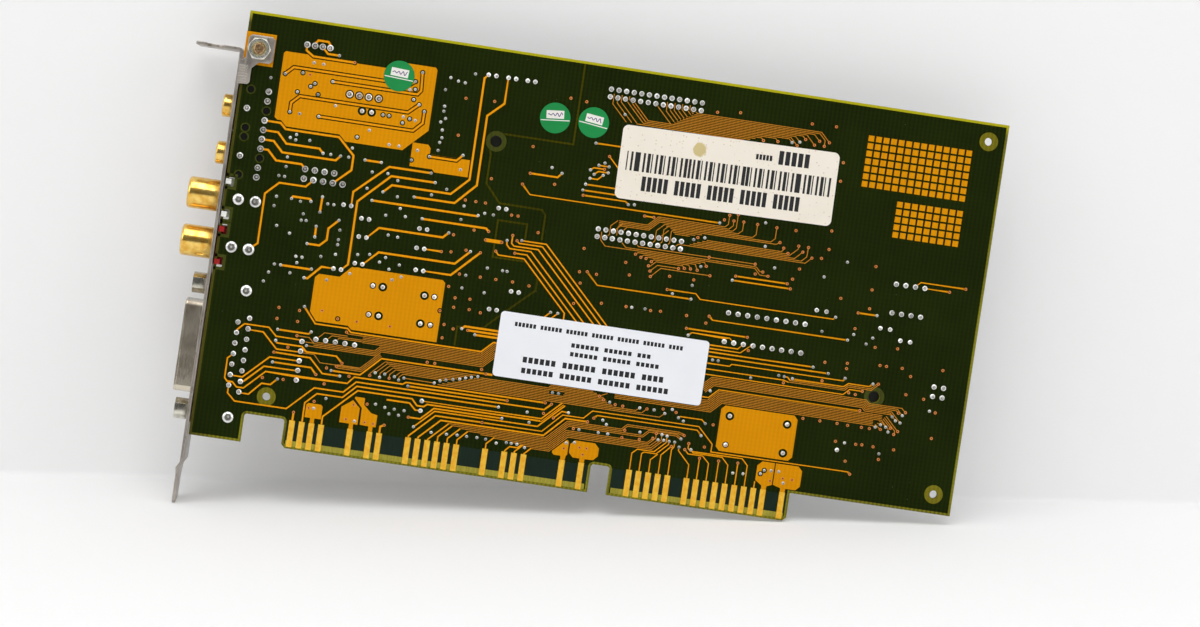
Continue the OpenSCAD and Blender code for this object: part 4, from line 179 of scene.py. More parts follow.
world = bpy.data.worlds.new("room")
bpy.context.scene.world = world
world.use_nodes = True
tree = world.node_tree
direction = add(tree, "ShaderNodeTexCoord")
parts = add(tree, "ShaderNodeSeparateXYZ", {0: direction.outputs["Generated"]})
mirrored = ramp(tree, parts.outputs["Y"], **dark_behind)
seen = add(tree, "ShaderNodeLightPath").outputs
level = add(tree, "ShaderNodeMix", {0: seen["Is Glossy Ray"], 2: room_level, 3: mirrored})
room = tree.nodes["Background"]
room.inputs["Color"].default_value = (1, 1, 1, 1)
tree.links.new(level.outputs[0], room.inputs["Strength"])
soft_lamp("top_lamp", (-0.1, -0.75, 1.15), card_middle, 1.0, 9)
soft_lamp("left_lamp", (-1.1, -0.7, 0.5), card_middle, 0.8, 3)
soft_lamp("right_lamp", (1.1, -0.6, 0.5), card_middle, 0.8, 3)

# The laminate: four layers of glass cloth and resin pressed together, printed with green mask.
# It is dark over the buried copper planes, with the cloth's weave faint in it, and yellow-green
# on its routed edges and in the strip beside them, where the planes stop.
mm = 0.001
board_low, board_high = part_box("circuit_board")
solder_face = board_low[1]
part_face = board_high[1]
contact_w = 1.5
first_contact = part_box("solder_contacts")[0][0] + contact_w / 2 * mm
cloth_pitch = 1.1 * mm
layer_pitch = 0.4 * mm
skin = 0.01 * mm


def linear(r, g, b):
    """Screen values from 0 to 255 as a colour in linear light."""
    return (*[((c / 255 + 0.055) / 1.055) ** 2.4 if c > 10 else c / 255 / 12.92 for c in (r, g, b)], 1)


def mixed(tree, share, first, second):
    """A colour that goes from the first to the second with a share from 0 to 1."""
    return add(tree, "ShaderNodeMix", {0: share, 6: first, 7: second}, data_type="RGBA").outputs[2]


def object_place(tree):
    """The Object coordinates as a vector."""
    return add(tree, "ShaderNodeTexCoord").outputs["Object"]


def place_parts(tree):
    """The Object coordinates as the outputs X, Y and Z."""
    return add(tree, "ShaderNodeSeparateXYZ", {0: object_place(tree)}).outputs


def material(name, color, roughness, metallic=0.0, specular=0.5):
    """A Principled material with constants on its own sockets."""
    made = bpy.data.materials.new(name)
    made.use_nodes = True
    sockets = made.node_tree.nodes["Principled BSDF"].inputs
    sockets["Base Color"].default_value = color
    sockets["Roughness"].default_value = roughness
    sockets["Metallic"].default_value = metallic
    sockets["Specular IOR Level"].default_value = specular
    return made


def lead_to(made, socket, output):
    """Links an output to one socket of a material's shader."""
    made.node_tree.links.new(output, made.node_tree.nodes["Principled BSDF"].inputs[socket])


def lay_over(made, share, color):
    """Mixes a colour over the one that a material has, with a share from 0 to 1."""
    tree = made.node_tree
    body = tree.nodes["Principled BSDF"].inputs["Base Color"].links[0].from_socket
    lead_to(made, "Base Color", mixed(tree, share, body, color))


def new_group(name, inputs, outputs):
    """A shader node group with named inputs, each with its usual value, and named float outputs."""
    group = bpy.data.node_groups.new(name, "ShaderNodeTree")
    for label, kind, value in inputs:
        group.interface.new_socket(label, in_out="INPUT", socket_type=kind).default_value = value
    for label in outputs:
        group.interface.new_socket(label, in_out="OUTPUT", socket_type="NodeSocketFloat")
    return group, add(group, "NodeGroupInput").outputs, add(group, "NodeGroupOutput").inputs


def make_cloth_group():
    """Woven glass. Value is 0.5 + 0.36 (sin x + 0.3 sin z), where x and z turn once in a pitch,
    Cloud is a slow drift, and Speck marks rare pale points of dust or resin."""
    group, given, result = new_group(
        "woven_glass",
        [("Pitch", "NodeSocketFloat", cloth_pitch), ("Drift", "NodeSocketFloat", 60.0)],
        ("Value", "Speck", "Cloud"))
    place = object_place(group)
    parts = add(group, "ShaderNodeSeparateXYZ", {0: place}).outputs
    per = calc(group, "DIVIDE", 2 * math.pi, given["Pitch"])
    warp = calc(group, "SINE", calc(group, "MULTIPLY", parts["X"], per))
    weft = calc(group, "SINE", calc(group, "MULTIPLY", parts["Z"], per))
    weave = calc(group, "MULTIPLY_ADD", weft, 0.3, warp)
    cloud = add(group, "ShaderNodeTexNoise", {"Vector": place, "Scale": given["Drift"], "Detail": 3})
    dust = add(group, "ShaderNodeTexVoronoi", {"Vector": place, "Scale": 450}).outputs
    own = add(group, "ShaderNodeSeparateColor", {0: dust["Color"]}).outputs[0]
    near = calc(group, "LESS_THAN", dust["Distance"], 0.05)
    speck = calc(group, "MULTIPLY", near, calc(group, "GREATER_THAN", own, 0.9))
    group.links.new(calc(group, "MULTIPLY_ADD", weave, 0.36, 0.5), result["Value"])
    group.links.new(speck, result["Speck"])
    group.links.new(cloud.outputs["Fac"], result["Cloud"])
    return group


cloth_group = make_cloth_group()


def cloth_material(name, dark, pale, roughness, specular, speck=None):
    """A material whose colour runs from dark to pale with the woven glass under it."""
    made = material(name, dark, roughness, specular=specular)
    tree = made.node_tree
    cloth = add(tree, "ShaderNodeGroup", node_tree=cloth_group).outputs
    drift = calc(tree, "MULTIPLY_ADD", cloth["Cloud"], 0.9, -0.25)
    share = calc(tree, "MULTIPLY_ADD", cloth["Value"], 0.6, drift)
    lead_to(made, "Base Color", mixed(tree, share, dark, pale))
    if speck:
        lay_over(made, cloth["Speck"], speck)
    return made


def show_edge(made, resin, buried):
    """Gives the routed edge its own colour: it is where |Y| is less than the faces' own, and the
    four buried layers show in it as sine stripes along Y."""
    tree = made.node_tree
    depth = place_parts(tree)["Y"]
    stripe = calc(tree, "SINE", calc(tree, "MULTIPLY", depth, 2 * math.pi / layer_pitch))
    inside = calc(tree, "LESS_THAN", calc(tree, "ABSOLUTE", depth), part_face - skin)
    lay_over(made, inside, mixed(tree, stripe, resin, buried))


def dress(node, *materials):
    """Gives a carried-over node of the frame its finished materials."""
    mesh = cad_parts[node].data
    mesh.materials.clear()
    for made in materials:
        mesh.materials.append(made)


green_board = cloth_material("green_board", linear(16, 25, 0), linear(32, 43, 4), 0.5, 0.05,
                             speck=linear(80, 84, 66))
show_edge(green_board, linear(150, 150, 20), linear(110, 116, 22))
dress("circuit_board", green_board)

# The bare margin: the buried planes stop short of every edge and hole, so light comes through the
# resin there. It shows as a yellow-green strip just inside the outline, rings round the tooling
# and peg holes, frames round the notches for the phono sockets' legs, and thin lines where one
# plane is split from the next. All of it is flat strips laid on the laminate under the copper.
board_left = (board_low[0] - first_contact) / mm
board_right = (board_high[0] - first_contact) / mm
board_top = board_high[2] / mm
tongue_rise = 7.5
tongue_left, tongue_right = -2.0, 131.54
tongue_chamfer = 1
foot_left = -12.6
key_left, key_right = 78.78, 83.78
notch_r = 0.8
margin_w = 0.68
outline = [(board_left, 0, 0), (foot_left, 0, 0), (foot_left, tongue_rise, notch_r),
           (tongue_left, tongue_rise, notch_r), (tongue_left, tongue_chamfer, 0),
           (tongue_left + tongue_chamfer, 0, 0), (key_left, 0, 0), (key_left, tongue_rise, notch_r),
           (key_right, tongue_rise, notch_r), (key_right, 0, 0), (tongue_right - tongue_chamfer, 0, 0),
           (tongue_right, tongue_chamfer, 0), (tongue_right, tongue_rise, 0),
           (board_right, tongue_rise, 0), (board_right, board_top, 0), (board_left, board_top, 0)]
tooling_at = [(-7.6, 12.6), (board_right - 4.8, 106.3), (board_right - 5.1, 12.6)]
tooling_r, tooling_w = 2.45, 1.4
covered_at = [(41.8, 87.2), (149.7, 35.7)]
covered_r, covered_w = 2.7, 1.2
jack_z = (86.1, 73.7)
peg_at = [(-23.1, z + side) for z in jack_z for side in (5, -5)] + [(-18.3, z) for z in jack_z]
peg_r, peg_w = 1.24, 0.29
leg_at = [z + side for z in (62.35, 49.85) for side in (4.3, -4.3)]
leg_deep, leg_half, leg_w = 2.2, 1.3, 0.75
split_w = 0.5
split_lines = [
    [(61.8, board_top - margin_w), (61.8, 89.4), (43.4, 89.4)],
    [(40.4, 84.9), (40.9, 83.6), (40.9, 76), (45, 71.4), (56.3, 71.3), (57.3, 70), (57.3, 63.5)],
    [(54, 57.3), (45.3, 57.3), (45.3, 67), (53, 67), (53, 63)],
    [(57.8, 53.5), (57.7, 50.3), (50, 43), (45.5, 38.5), (38.9, 38), (38.9, 33)]]


def rounded_path(corners, steps=6):
    """A closed path through (x, z, r) corners: a corner c with a radius turns on the arc
    c + r (a + b) - r (b cos t + a sin t), where a and b point to its neighbours."""
    places = np.array([corner[:2] for corner in corners], float)
    t = np.linspace(0, math.pi / 2, steps)[:, None]
    path = []
    for number, (*_, r) in enumerate(corners):
        c = places[number]
        a = unit(places[number - 1] - c)
        b = unit(places[(number + 1) % len(places)] - c)
        arc = c + r * (a + b) - r * (b * np.cos(t) + a * np.sin(t))
        path.append(arc if r else c[None, :])
    return np.vstack(path)


def circle_path(x, z, r, steps=36):
    """A closed path at x + r cos t, z + r sin t."""
    t = np.arange(steps) * 2 * math.pi / steps
    return np.column_stack([x + r * np.cos(t), z + r * np.sin(t)])


def strip(path, left, right, y, closed=False, toward=-1):
    """A flat strip beside an [x, z] path in mm, with the side that it faces along Y. Each path
    point p gives the edge points p + left m and p - right m, where m is the mitre of the left-hand
    normals that meet at p."""
    p = np.asarray(path, float)
    after = np.roll(p, -1, axis=0) - p
    before = p - np.roll(p, 1, axis=0)
    if not closed:
        after[-1] = before[-1]
        before[0] = after[0]
    normals = [np.column_stack([-way[:, 1], way[:, 0]]) / np.linalg.norm(way, axis=1)[:, None]
               for way in (after, before)]
    m = normals[0] + normals[1]
    m *= 2 / (m * m).sum(axis=1)[:, None]
    flat = np.vstack([p + left * m, p - right * m])
    points = np.column_stack([flat[:, 0] * mm + first_contact, np.full(len(flat), y), flat[:, 1] * mm])
    n = len(p)
    here = np.arange(n if closed else n - 1)
    beside = (here + 1) % n
    faces = np.column_stack([here + n, beside + n, beside, here])
    return points, [faces if toward < 0 else faces[:, ::-1]]


def both_faces(path, left, right, closed=False, lift=skin):
    """The same strip on the solder face and on the component face."""
    return [strip(path, left, right, solder_face - lift, closed),
            strip(path, left, right, part_face + lift, closed, toward=1)]


def placed(name, mesh, made):
    """An object of a finished mesh that rides on the card."""
    mesh.materials.append(made)
    made_object = bpy.data.objects.new(name, mesh)
    bpy.context.collection.objects.link(made_object)
    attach(made_object, "root")
    return made_object


def piece(name, parts, made, smooth=False):
    """One object that rides on the card, from parts of (points, arrays of faces)."""
    start = 0
    faces = []
    for points, arrays in parts:
        for array in arrays:
            faces += (array + start).tolist()
        start += len(points)
    mesh = bpy.data.meshes.new(name)
    mesh.from_pydata(np.vstack([points for points, _ in parts]).tolist(), [], faces)
    mesh.polygons.foreach_set("use_smooth", [smooth] * len(mesh.polygons))
    return placed(name, mesh, made)


def rings(places, r, width):
    """Flat rings on both faces, from radius r inwards at each (x, z) place."""
    return [part for x, z in places for part in both_faces(circle_path(x, z, r), width, 0, True)]


def margin_material(name, dark, pale, painted_top_light):
    """Clear resin, pale along most of its run, with painted shade that darkens it beside the bracket and
    painted light that makes it palest along the top edge.
    """
    made = cloth_material(name, dark, pale, 0.4, 0.2)
    tree = made.node_tree
    parts = place_parts(tree)
    left = board_low[0]
    top = board_high[2]
    # Painted shade: the resin darkens within 6 mm of the bracket's side.
    lay_over(made, ramp(tree, parts["X"], left + 6 * mm, left + 0.7 * mm, end=0.8), dark)
    # Painted light: the resin is palest along the top edge, under the lamp above.
    lay_over(made, ramp(tree, parts["Z"], top - 3 * mm, top, end=0.9), painted_top_light)
    return made


# This material carries painted shade beside the bracket and painted light along the top.
margin_resin = margin_material("margin_resin", linear(66, 62, 6), linear(142, 138, 22),
                               linear(186, 178, 8))
ring_resin = cloth_material("ring_resin", linear(98, 92, 4), linear(128, 120, 14), 0.4, 0.2)
dim_resin = cloth_material("dim_resin", linear(52, 58, 8), linear(70, 74, 12), 0.4, 0.2)
split_resin = cloth_material("split_resin", linear(42, 42, 0), linear(72, 68, 0), 0.5, 0.05)
leg_frames = []
for z in leg_at:
    frame_path = [(board_left, z + leg_half), (board_left + leg_deep, z + leg_half),
                  (board_left + leg_deep, z - leg_half), (board_left, z - leg_half)]
    leg_frames += both_faces(frame_path, leg_w, 0)
piece("board_margin", both_faces(rounded_path(outline), margin_w, 0, closed=True), margin_resin)
piece("tooling_hole_rings", rings(tooling_at, tooling_r, tooling_w), ring_resin)
piece("covered_hole_rings",
      rings(covered_at, covered_r, covered_w) + rings(peg_at, peg_r, peg_w) + leg_frames, dim_resin)
piece("plane_split_lines",
      [part for line in split_lines for part in both_faces(line, split_w / 2, split_w / 2)],
      split_resin)

# The tongue has no mask: bare laminate, blue-black over the planes and pale below them, where
# the cloth's upright yarns show as fine streaks. Both are thin sheets under the gold contacts.
bare_top = 7.1
bare_low = 2.1
bare_lift = 0.6 * skin
tongue_runs = [(tongue_left, key_left), (key_right, tongue_right)]
yarn_w = 0.35 * mm
yarn_stretch = 0.08


def panel(x0, x1, z0, z1, columns=12):
    """Two sheets, one on each face, as strips along z = (z0 + z1) / 2 that are z1 - z0 wide."""
    x = np.linspace(x0, x1, columns)
    path = np.column_stack([x, np.full(columns, (z0 + z1) / 2)])
    return both_faces(path, (z1 - z0) / 2, (z1 - z0) / 2, lift=bare_lift)


def streaked(name, dark, pale):
    """Resin over upright yarns: noise stretched along Z, so that it runs in streaks."""
    made = material(name, dark, 0.4, specular=0.15)
    tree = made.node_tree
    spread = add(tree, "ShaderNodeVectorMath",
                 {0: object_place(tree), 1: (1 / yarn_w, 1 / yarn_w, yarn_stretch / yarn_w)},
                 operation="MULTIPLY")
    noise = add(tree, "ShaderNodeTexNoise", {"Vector": spread.outputs[0], "Scale": 1, "Detail": 3})
    lead_to(made, "Base Color", mixed(tree, noise.outputs["Fac"], dark, pale))
    return made


piece("bare_tongue", [part for x0, x1 in tongue_runs for part in panel(x0, x1, bare_low, bare_top)],
      streaked("bare_laminate", linear(12, 27, 19), linear(28, 46, 33)))
piece("tongue_foot", [part for x0, x1 in tongue_runs
                      for part in panel(x0 + tongue_chamfer, x1 - tongue_chamfer, 0, bare_low)],
      streaked("tongue_resin", linear(112, 104, 22), linear(186, 176, 72)))

# The copper of the solder side: etched sheet under the same green mask, which turns it orange.
# Wide areas show the weave faintly; fine tracks look browner, because the mask closes over them.
sharpest_turn = 0.75
area_copper = cloth_material("area_copper", linear(206, 134, 0), linear(222, 147, 2), 0.5, 0.06)
track_copper = cloth_material("track_copper", linear(222, 142, 4), linear(238, 156, 12), 0.5, 0.06)
fine_copper = cloth_material("fine_copper", linear(176, 114, 28), linear(202, 134, 42), 0.5, 0.06)
hole_copper = cloth_material("hole_copper", linear(196, 110, 46), linear(222, 144, 82), 0.4, 0.2)
dress("copper_areas", area_copper)
dress("fine_tracks", fine_copper)
dress("plated_holes", hole_copper)


def corners_of(node):
    """A CAD node's corner places and triangles as arrays."""
    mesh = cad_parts[node].data
    points = np.zeros(len(mesh.vertices) * 3)
    mesh.vertices.foreach_get("co", points)
    corners = np.zeros(len(mesh.loops), np.int64)
    mesh.loops.foreach_get("vertex_index", corners)
    return points.reshape(-1, 3), corners.reshape(-1, 3)


def joined(points, corners):
    """Corners at one place become one: the places, the triangles between them, and for each place
    the label of the solid that it belongs to. Labels spread along triangles until none changes."""
    keys, first, place = np.unique(np.round(points / (0.001 * mm)).astype(np.int64), axis=0,
                                   return_index=True, return_inverse=True)
    triangles = place.ravel()[corners]
    triangles = triangles[(triangles != np.roll(triangles, 1, axis=1)).all(axis=1)]
    mark = np.arange(len(keys))
    while True:
        low = mark[triangles].min(axis=1)
        spread = mark.copy()
        for column in range(3):
            np.minimum.at(spread, triangles[:, column], low)
        if (spread == mark).all():
            break
        mark = spread
    _, solid = np.unique(mark, return_inverse=True)
    return points[first], triangles, solid.ravel()


def solid_boxes(points, solid):
    """The lowest and the highest corner of each solid."""
    lowest = np.full((solid.max() + 1, 3), np.inf)
    highest = np.full((solid.max() + 1, 3), -np.inf)
    np.minimum.at(lowest, solid, points)
    np.maximum.at(highest, solid, points)
    return lowest, highest


def narrowed(points, triangles, inset):
    """Moves the side walls of flat copper inwards. A place where walls with the outward normals
    a and b meet moves by -inset (a + b) / (1 + a.b), which keeps both walls parallel. That is the
    unit vector of a + b over the cosine of half the turn, and half a turn has a sine of |a - b| / 2,
    which is held below sharpest_turn."""
    across = np.cross(points[triangles[:, 1]] - points[triangles[:, 0]],
                      points[triangles[:, 2]] - points[triangles[:, 0]])
    across /= np.linalg.norm(across, axis=1)[:, None] + 1e-30
    wall = np.abs(across[:, 1]) < 0.5
    least = np.full((len(points), 2), np.inf)
    most = np.full((len(points), 2), -np.inf)
    for column in range(3):
        np.minimum.at(least, triangles[wall, column], across[wall][:, [0, 2]])
        np.maximum.at(most, triangles[wall, column], across[wall][:, [0, 2]])
    walls = np.zeros((len(points), 2))
    for column in range(3):
        np.add.at(walls, triangles[wall, column], across[wall][:, [0, 2]])
    size = np.linalg.norm(walls, axis=1)
    walls /= size[:, None] + 1e-30
    spread = np.where(np.isfinite(least), most - least, 0)
    turn = np.clip(np.linalg.norm(spread, axis=1) / 2, 0, sharpest_turn)
    moved = points.copy()
    moved[:, [0, 2]] -= (inset / np.sqrt(1 - turn ** 2))[:, None] * walls
    return moved


# The tracks of the digital side and the bus are etched narrower than those of the audio side. A
# strip's width is twice its area over its outline's length, and each is drawn in to its target.
audio_w, bus_w, middle_w, fine_w = 0.55, 0.38, 0.4, 0.26
bus_top = 36 * mm
middle_from, fine_from = 48, 70
deepest_inset = 0.15 * mm
track_points, track_triangles, track_solid = joined(*corners_of("copper_tracks"))
track_low, track_high = solid_boxes(track_points, track_solid)
edge_a = track_points[track_triangles[:, 1]] - track_points[track_triangles[:, 0]]
edge_b = track_points[track_triangles[:, 2]] - track_points[track_triangles[:, 0]]
area_vectors = np.cross(edge_a, edge_b) / 2
areas = np.linalg.norm(area_vectors, axis=1)
owner = track_solid[track_triangles[:, 0]]
face_area = np.bincount(owner, np.where(area_vectors[:, 1] < -0.5 * areas, areas, 0))
wall_area = np.bincount(owner, np.where(np.abs(area_vectors[:, 1]) < 0.5 * areas, areas, 0))
source_w = 2 * face_area * (track_high - track_low)[:, 1] / wall_area
track_middle = (track_low + track_high) / 2
track_x = (track_middle[:, 0] - first_contact) / mm
target_w = np.select([track_x > fine_from, track_x > middle_from, track_middle[:, 2] < bus_top],
                     [fine_w, middle_w, bus_w], audio_w)
inset = np.clip((source_w - target_w * mm) / 2, 0, deepest_inset)
etched = narrowed(track_points, track_triangles, inset[track_solid])

# A pad is as wide as its lead needs: widest under the audio connectors, narrowest under the pairs
# of capacitor leads. Joints closer than 3 mm form a row, and the lowest number in it spreads to
# all its members.
pair_pad, row_pad, audio_pad = 0.6 * mm, 0.7 * mm, 0.86 * mm
row_reach = 3 * mm
longest_row = 30
audio_low = 45 * mm
jack_side, audio_side = -8, 30
broad_joint = 2 * mm
broad_share = 1.1
joint_points, _, joint_solid = joined(*corners_of("solder_joints"))
joint_low, joint_high = solid_boxes(joint_points, joint_solid)
joint_size = joint_high - joint_low
joint_at = (joint_low + joint_high)[:, [0, 2]] / 2
apart = np.linalg.norm(joint_at[:, None] - joint_at[None], axis=2)
row = np.arange(len(joint_at))
for _ in range(longest_row):
    row = np.where(apart < row_reach, row[None], len(row)).min(axis=1)
_, row, members = np.unique(row, return_inverse=True, return_counts=True)
in_pair = members[row] <= 2
joint_x = (joint_at[:, 0] - first_contact) / mm
pad_r = np.where(in_pair, pair_pad, row_pad)
under_audio = (joint_x < jack_side) | (joint_x < audio_side) & ~in_pair
pad_r[under_audio & (joint_at[:, 1] > audio_low)] = audio_pad
broad = joint_size[:, 0] > broad_joint
pad_r[broad] = joint_size[broad, 0] / 2 * broad_share

# The copper of a pad ends just inside its solder, so what the source draws wider is drawn in.
copper_limit = 0.9 * mm
copper_share = 0.92
for centre, radius in zip(joint_at[~broad], pad_r[~broad] * copper_share):
    offset = etched[:, [0, 2]] - centre
    reach = np.linalg.norm(offset, axis=1)
    near = (reach < copper_limit) & (reach > radius)
    etched[np.ix_(near, [0, 2])] = centre + offset[near] * (radius / reach[near])[:, None]
tracks = piece("etched_tracks", [(etched, [track_triangles])], track_copper)
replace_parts(tracks, "copper_tracks")

# Metals: gold over the contacts and connector shells, rolled steel for the bracket, zinc on its
# fasteners, tin on the leads and nickel on the game port. Each has its own grain, and its colour
# and roughness vary with handling and uneven plating.
grain_depth = 0.03 * mm


def make_grain_group():
    """Fine lines along one axis: stretched noise. Line is a value from 0 to 1, and Blotch is a
    slow cloud for handling marks and uneven plating."""
    group, given, result = new_group(
        "metal_grain",
        [("Stretch", "NodeSocketVector", (1.0, 1.0, 1.0)), ("Blotch Scale", "NodeSocketFloat", 300.0)],
        ("Line", "Blotch"))
    place = object_place(group)
    scaled = add(group, "ShaderNodeVectorMath", {0: place, 1: given["Stretch"]}, operation="MULTIPLY")
    line = add(group, "ShaderNodeTexNoise", {"Vector": scaled.outputs[0], "Scale": 1, "Detail": 4})
    blotch = add(group, "ShaderNodeTexNoise",
                 {"Vector": place, "Scale": given["Blotch Scale"], "Detail": 3})
    group.links.new(line.outputs["Fac"], result["Line"])
    group.links.new(blotch.outputs["Fac"], result["Blotch"])
    return group


grain_group = make_grain_group()


def grained(made, stretch, blotch):
    """The outputs of a grain group placed in a material."""
    return add(made.node_tree, "ShaderNodeGroup", {"Stretch": stretch, "Blotch Scale": blotch},
               node_tree=grain_group).outputs


def raise_grain(made, height, strength, depth):
    """Leads a height through a Bump node to a material's normal."""
    rise = add(made.node_tree, "ShaderNodeBump",
               {"Height": height, "Strength": strength, "Distance": depth})
    lead_to(made, "Normal", rise.outputs["Normal"])


def metal(name, dark, bright, roughness, spread=0.15, stretch=(2000, 2000, 2000), blotch=300.0,
          bump=0.0, metallic=1.0):
    """A metal whose colour and roughness follow its grain."""
    made = material(name, bright, roughness, metallic=metallic)
    tree = made.node_tree
    grain = grained(made, stretch, blotch)
    lead_to(made, "Base Color", mixed(tree, ramp(tree, grain["Blotch"], 0.35, 0.65), dark, bright))
    smoothest = max(roughness - spread / 2, 0.03)
    lead_to(made, "Roughness", ramp(tree, grain["Line"], 0.3, 0.7, smoothest, roughness + spread / 2))
    if bump:
        raise_grain(made, grain["Line"], bump, grain_depth)
    return made


contact_gold = metal("contact_gold", linear(246, 180, 34), linear(255, 204, 62), 0.42, 0.2,
                     (9000, 9000, 1500), 900.0, 0.35, metallic=0.35)
bright_gold = metal("bright_gold", linear(226, 172, 66), linear(250, 214, 120), 0.2, 0.1,
                    (300, 4000, 4000), 500.0, metallic=0.85)
bracket_steel = metal("bracket_steel", linear(160, 152, 143), linear(184, 177, 168), 0.34, 0.2,
                      (3000, 3000, 300), 260.0, 0.12, metallic=0.75)
zinc = metal("zinc", linear(196, 194, 180), linear(232, 231, 222), 0.24, 0.1, metallic=0.75)
yellow_zinc = metal("yellow_zinc", linear(112, 76, 48), linear(210, 176, 128), 0.26, 0.14,
                    blotch=1500.0, metallic=0.75)
tin = metal("tin", linear(176, 174, 168), linear(216, 214, 208), 0.3, 0.14, metallic=0.85)
nickel = metal("nickel", linear(176, 164, 146), linear(212, 202, 184), 0.2, 0.1, (2500, 600, 600),
               200.0, metallic=0.97)
screw_steel = metal("screw_steel", linear(186, 182, 168), linear(226, 222, 208), 0.18, 0.1,
                    blotch=900.0, metallic=0.93)
dress("solder_contacts", contact_gold)
dress("component_contacts", contact_gold)
dress("phono_cups", bright_gold)
for node in ("jack_springs", "phono_pins", "game_port_locks", "audio_connector_pins",
             "sound_processor_leads", "bus_controller_leads", "converter_leads", "memory_leads",
             "dip_leads", "amplifier_leads", "capacitor_leads", "oscillator_cans"):
    dress(node, tin)
for node in ("game_port_contacts", "memory_socket_pins", "jumper_pins"):
    dress(node, contact_gold)
dress("capacitor_cans", metal("drawn_aluminium", linear(176, 178, 182), linear(214, 216, 220), 0.3))

# Pressed and turned parts have no sharp edges. Each gets a copy of its solids with every edge
# rounded, so that edges catch the light as they do in the photograph.
flat_angle = math.radians(1)
edge_angle = math.radians(35)
shading_angle = math.radians(32)


def softened(node, width, made, name):
    """A copy of a CAD node with its edges rounded by a width, which stands for the node."""
    places, triangles, _ = joined(*corners_of(node))
    work = bmesh.new()
    corners = [work.verts.new(place) for place in places]
    for triangle in triangles:
        work.faces.new([corners[number] for number in triangle])
    bmesh.ops.dissolve_limit(work, angle_limit=flat_angle, verts=work.verts, edges=work.edges)
    sharp = [edge for edge in work.edges
             if len(edge.link_faces) == 2 and edge.calc_face_angle() > edge_angle]
    bmesh.ops.bevel(work, geom=sharp, offset=width, segments=2, profile=0.5, affect="EDGES",
                    clamp_overlap=True)
    bmesh.ops.triangulate(work, faces=work.faces)
    mesh = bpy.data.meshes.new(name)
    work.to_mesh(mesh)
    work.free()
    mesh.polygons.foreach_set("use_smooth", [True] * len(mesh.polygons))
    mesh.set_sharp_from_angle(angle=shading_angle)
    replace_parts(placed(name, mesh, made), node)


softened("bracket", 0.12 * mm, bracket_steel, "pressed_bracket")
softened("bracket_nut", 0.16 * mm, zinc, "chamfered_nut")
softened("bracket_screw", 0.1 * mm, yellow_zinc, "turned_screw")
softened("jackscrews", 0.2 * mm, screw_steel, "hexagon_jackscrews")
softened("jack_ferrules", 0.1 * mm, bright_gold, "rounded_ferrules")
softened("phono_shells", 0.25 * mm, bright_gold, "rounded_phono_shells")
softened("game_port_shell", 0.18 * mm, nickel, "rounded_port_shell")

# The game port's shell is drawn from sheet, so its open end turns inwards over a small radius.
# The outline is the set of points farthest out in each direction d(t) of the (Y, Z) plane, and
# the lip's section is an arc of radius lip_r about a middle just inside the wall.
lip_r = 0.5 * mm
lip_rise = 0.06 * mm
lip_steps = 96
lip_arc = np.radians(np.linspace(-12, 102, 9))
shell_points, _ = corners_of("game_port_shell")
mouth_x = shell_points[:, 0].min()
mouth = shell_points[shell_points[:, 0] < mouth_x + skin][:, 1:]
t = np.arange(lip_steps) * 2 * math.pi / lip_steps
ways = np.column_stack([np.cos(t), np.sin(t)])
farthest = mouth[np.argmax(ways @ mouth.T, axis=1)]
lip_middle = farthest - (lip_r - lip_rise) * ways
section = len(lip_arc) + 1
lip = np.zeros((lip_steps, section, 3))
lip[:, :-1, 0] = mouth_x + lip_r - lip_rise - lip_r * np.sin(lip_arc)
lip[:, :-1, 1:] = lip_middle[:, None] + lip_r * np.cos(lip_arc)[None, :, None] * ways[:, None]
lip[:, -1, 0] = mouth_x + lip_r - lip_rise
lip[:, -1, 1:] = lip_middle
piece("port_lip", [(lip.reshape(-1, 3), [grid_faces(lip_steps, section, True, True)])], nickel,
      True)

# The neck of the bracket's top tab is stamped with a patch of fine level ribs. Each rib is a half
# sine wave in section, raised from the tab's face and carried straight along X.
tab_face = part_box("bracket")[0][1]
rib_from, rib_to = -26.9, -24.6
rib_at = np.arange(92.6, 97.2, 0.7)
rib_w = 0.5
rib_rise = 0.05 * mm
rib_run = np.linspace(0, 1, 7)
rib_sides = np.array([rib_from, rib_to]) * mm + first_contact
ribs = []
for z in rib_at:
    points = np.zeros((2, len(rib_run), 3))
    points[:, :, 0] = rib_sides[:, None]
    points[:, :, 1] = tab_face - rib_rise * np.sin(math.pi * rib_run)
    points[:, :, 2] = (z + rib_w * (rib_run - 0.5)) * mm
    ribs.append((points.reshape(-1, 3), [grid_faces(2, len(rib_run))]))
piece("neck_ribs", ribs, bracket_steel, True)

# Round the screw's end the nut shows a pale ring: a painted highlight where the nut's inner edge catches
# the light.
# It is a flat ring just in front of the nut's face.
nut_low, nut_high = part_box("bracket_nut")
nut_x = ((nut_low[0] + nut_high[0]) / 2 - first_contact) / mm
nut_z = (nut_low[2] + nut_high[2]) / 2 / mm
glint_ring_r = 1.95
glint_ring_w = 0.34
# Painted highlight: a pale yellowish metal for the ring of light round the screw.
painted_glint_metal = metal("nut_glint_zinc", linear(186, 176, 104), linear(240, 234, 186), 0.25, metallic=0.6)
piece("painted_glint_ring", [strip(circle_path(nut_x, nut_z, glint_ring_r), glint_ring_w, 0, nut_low[1] - skin, True)],
      painted_glint_metal)

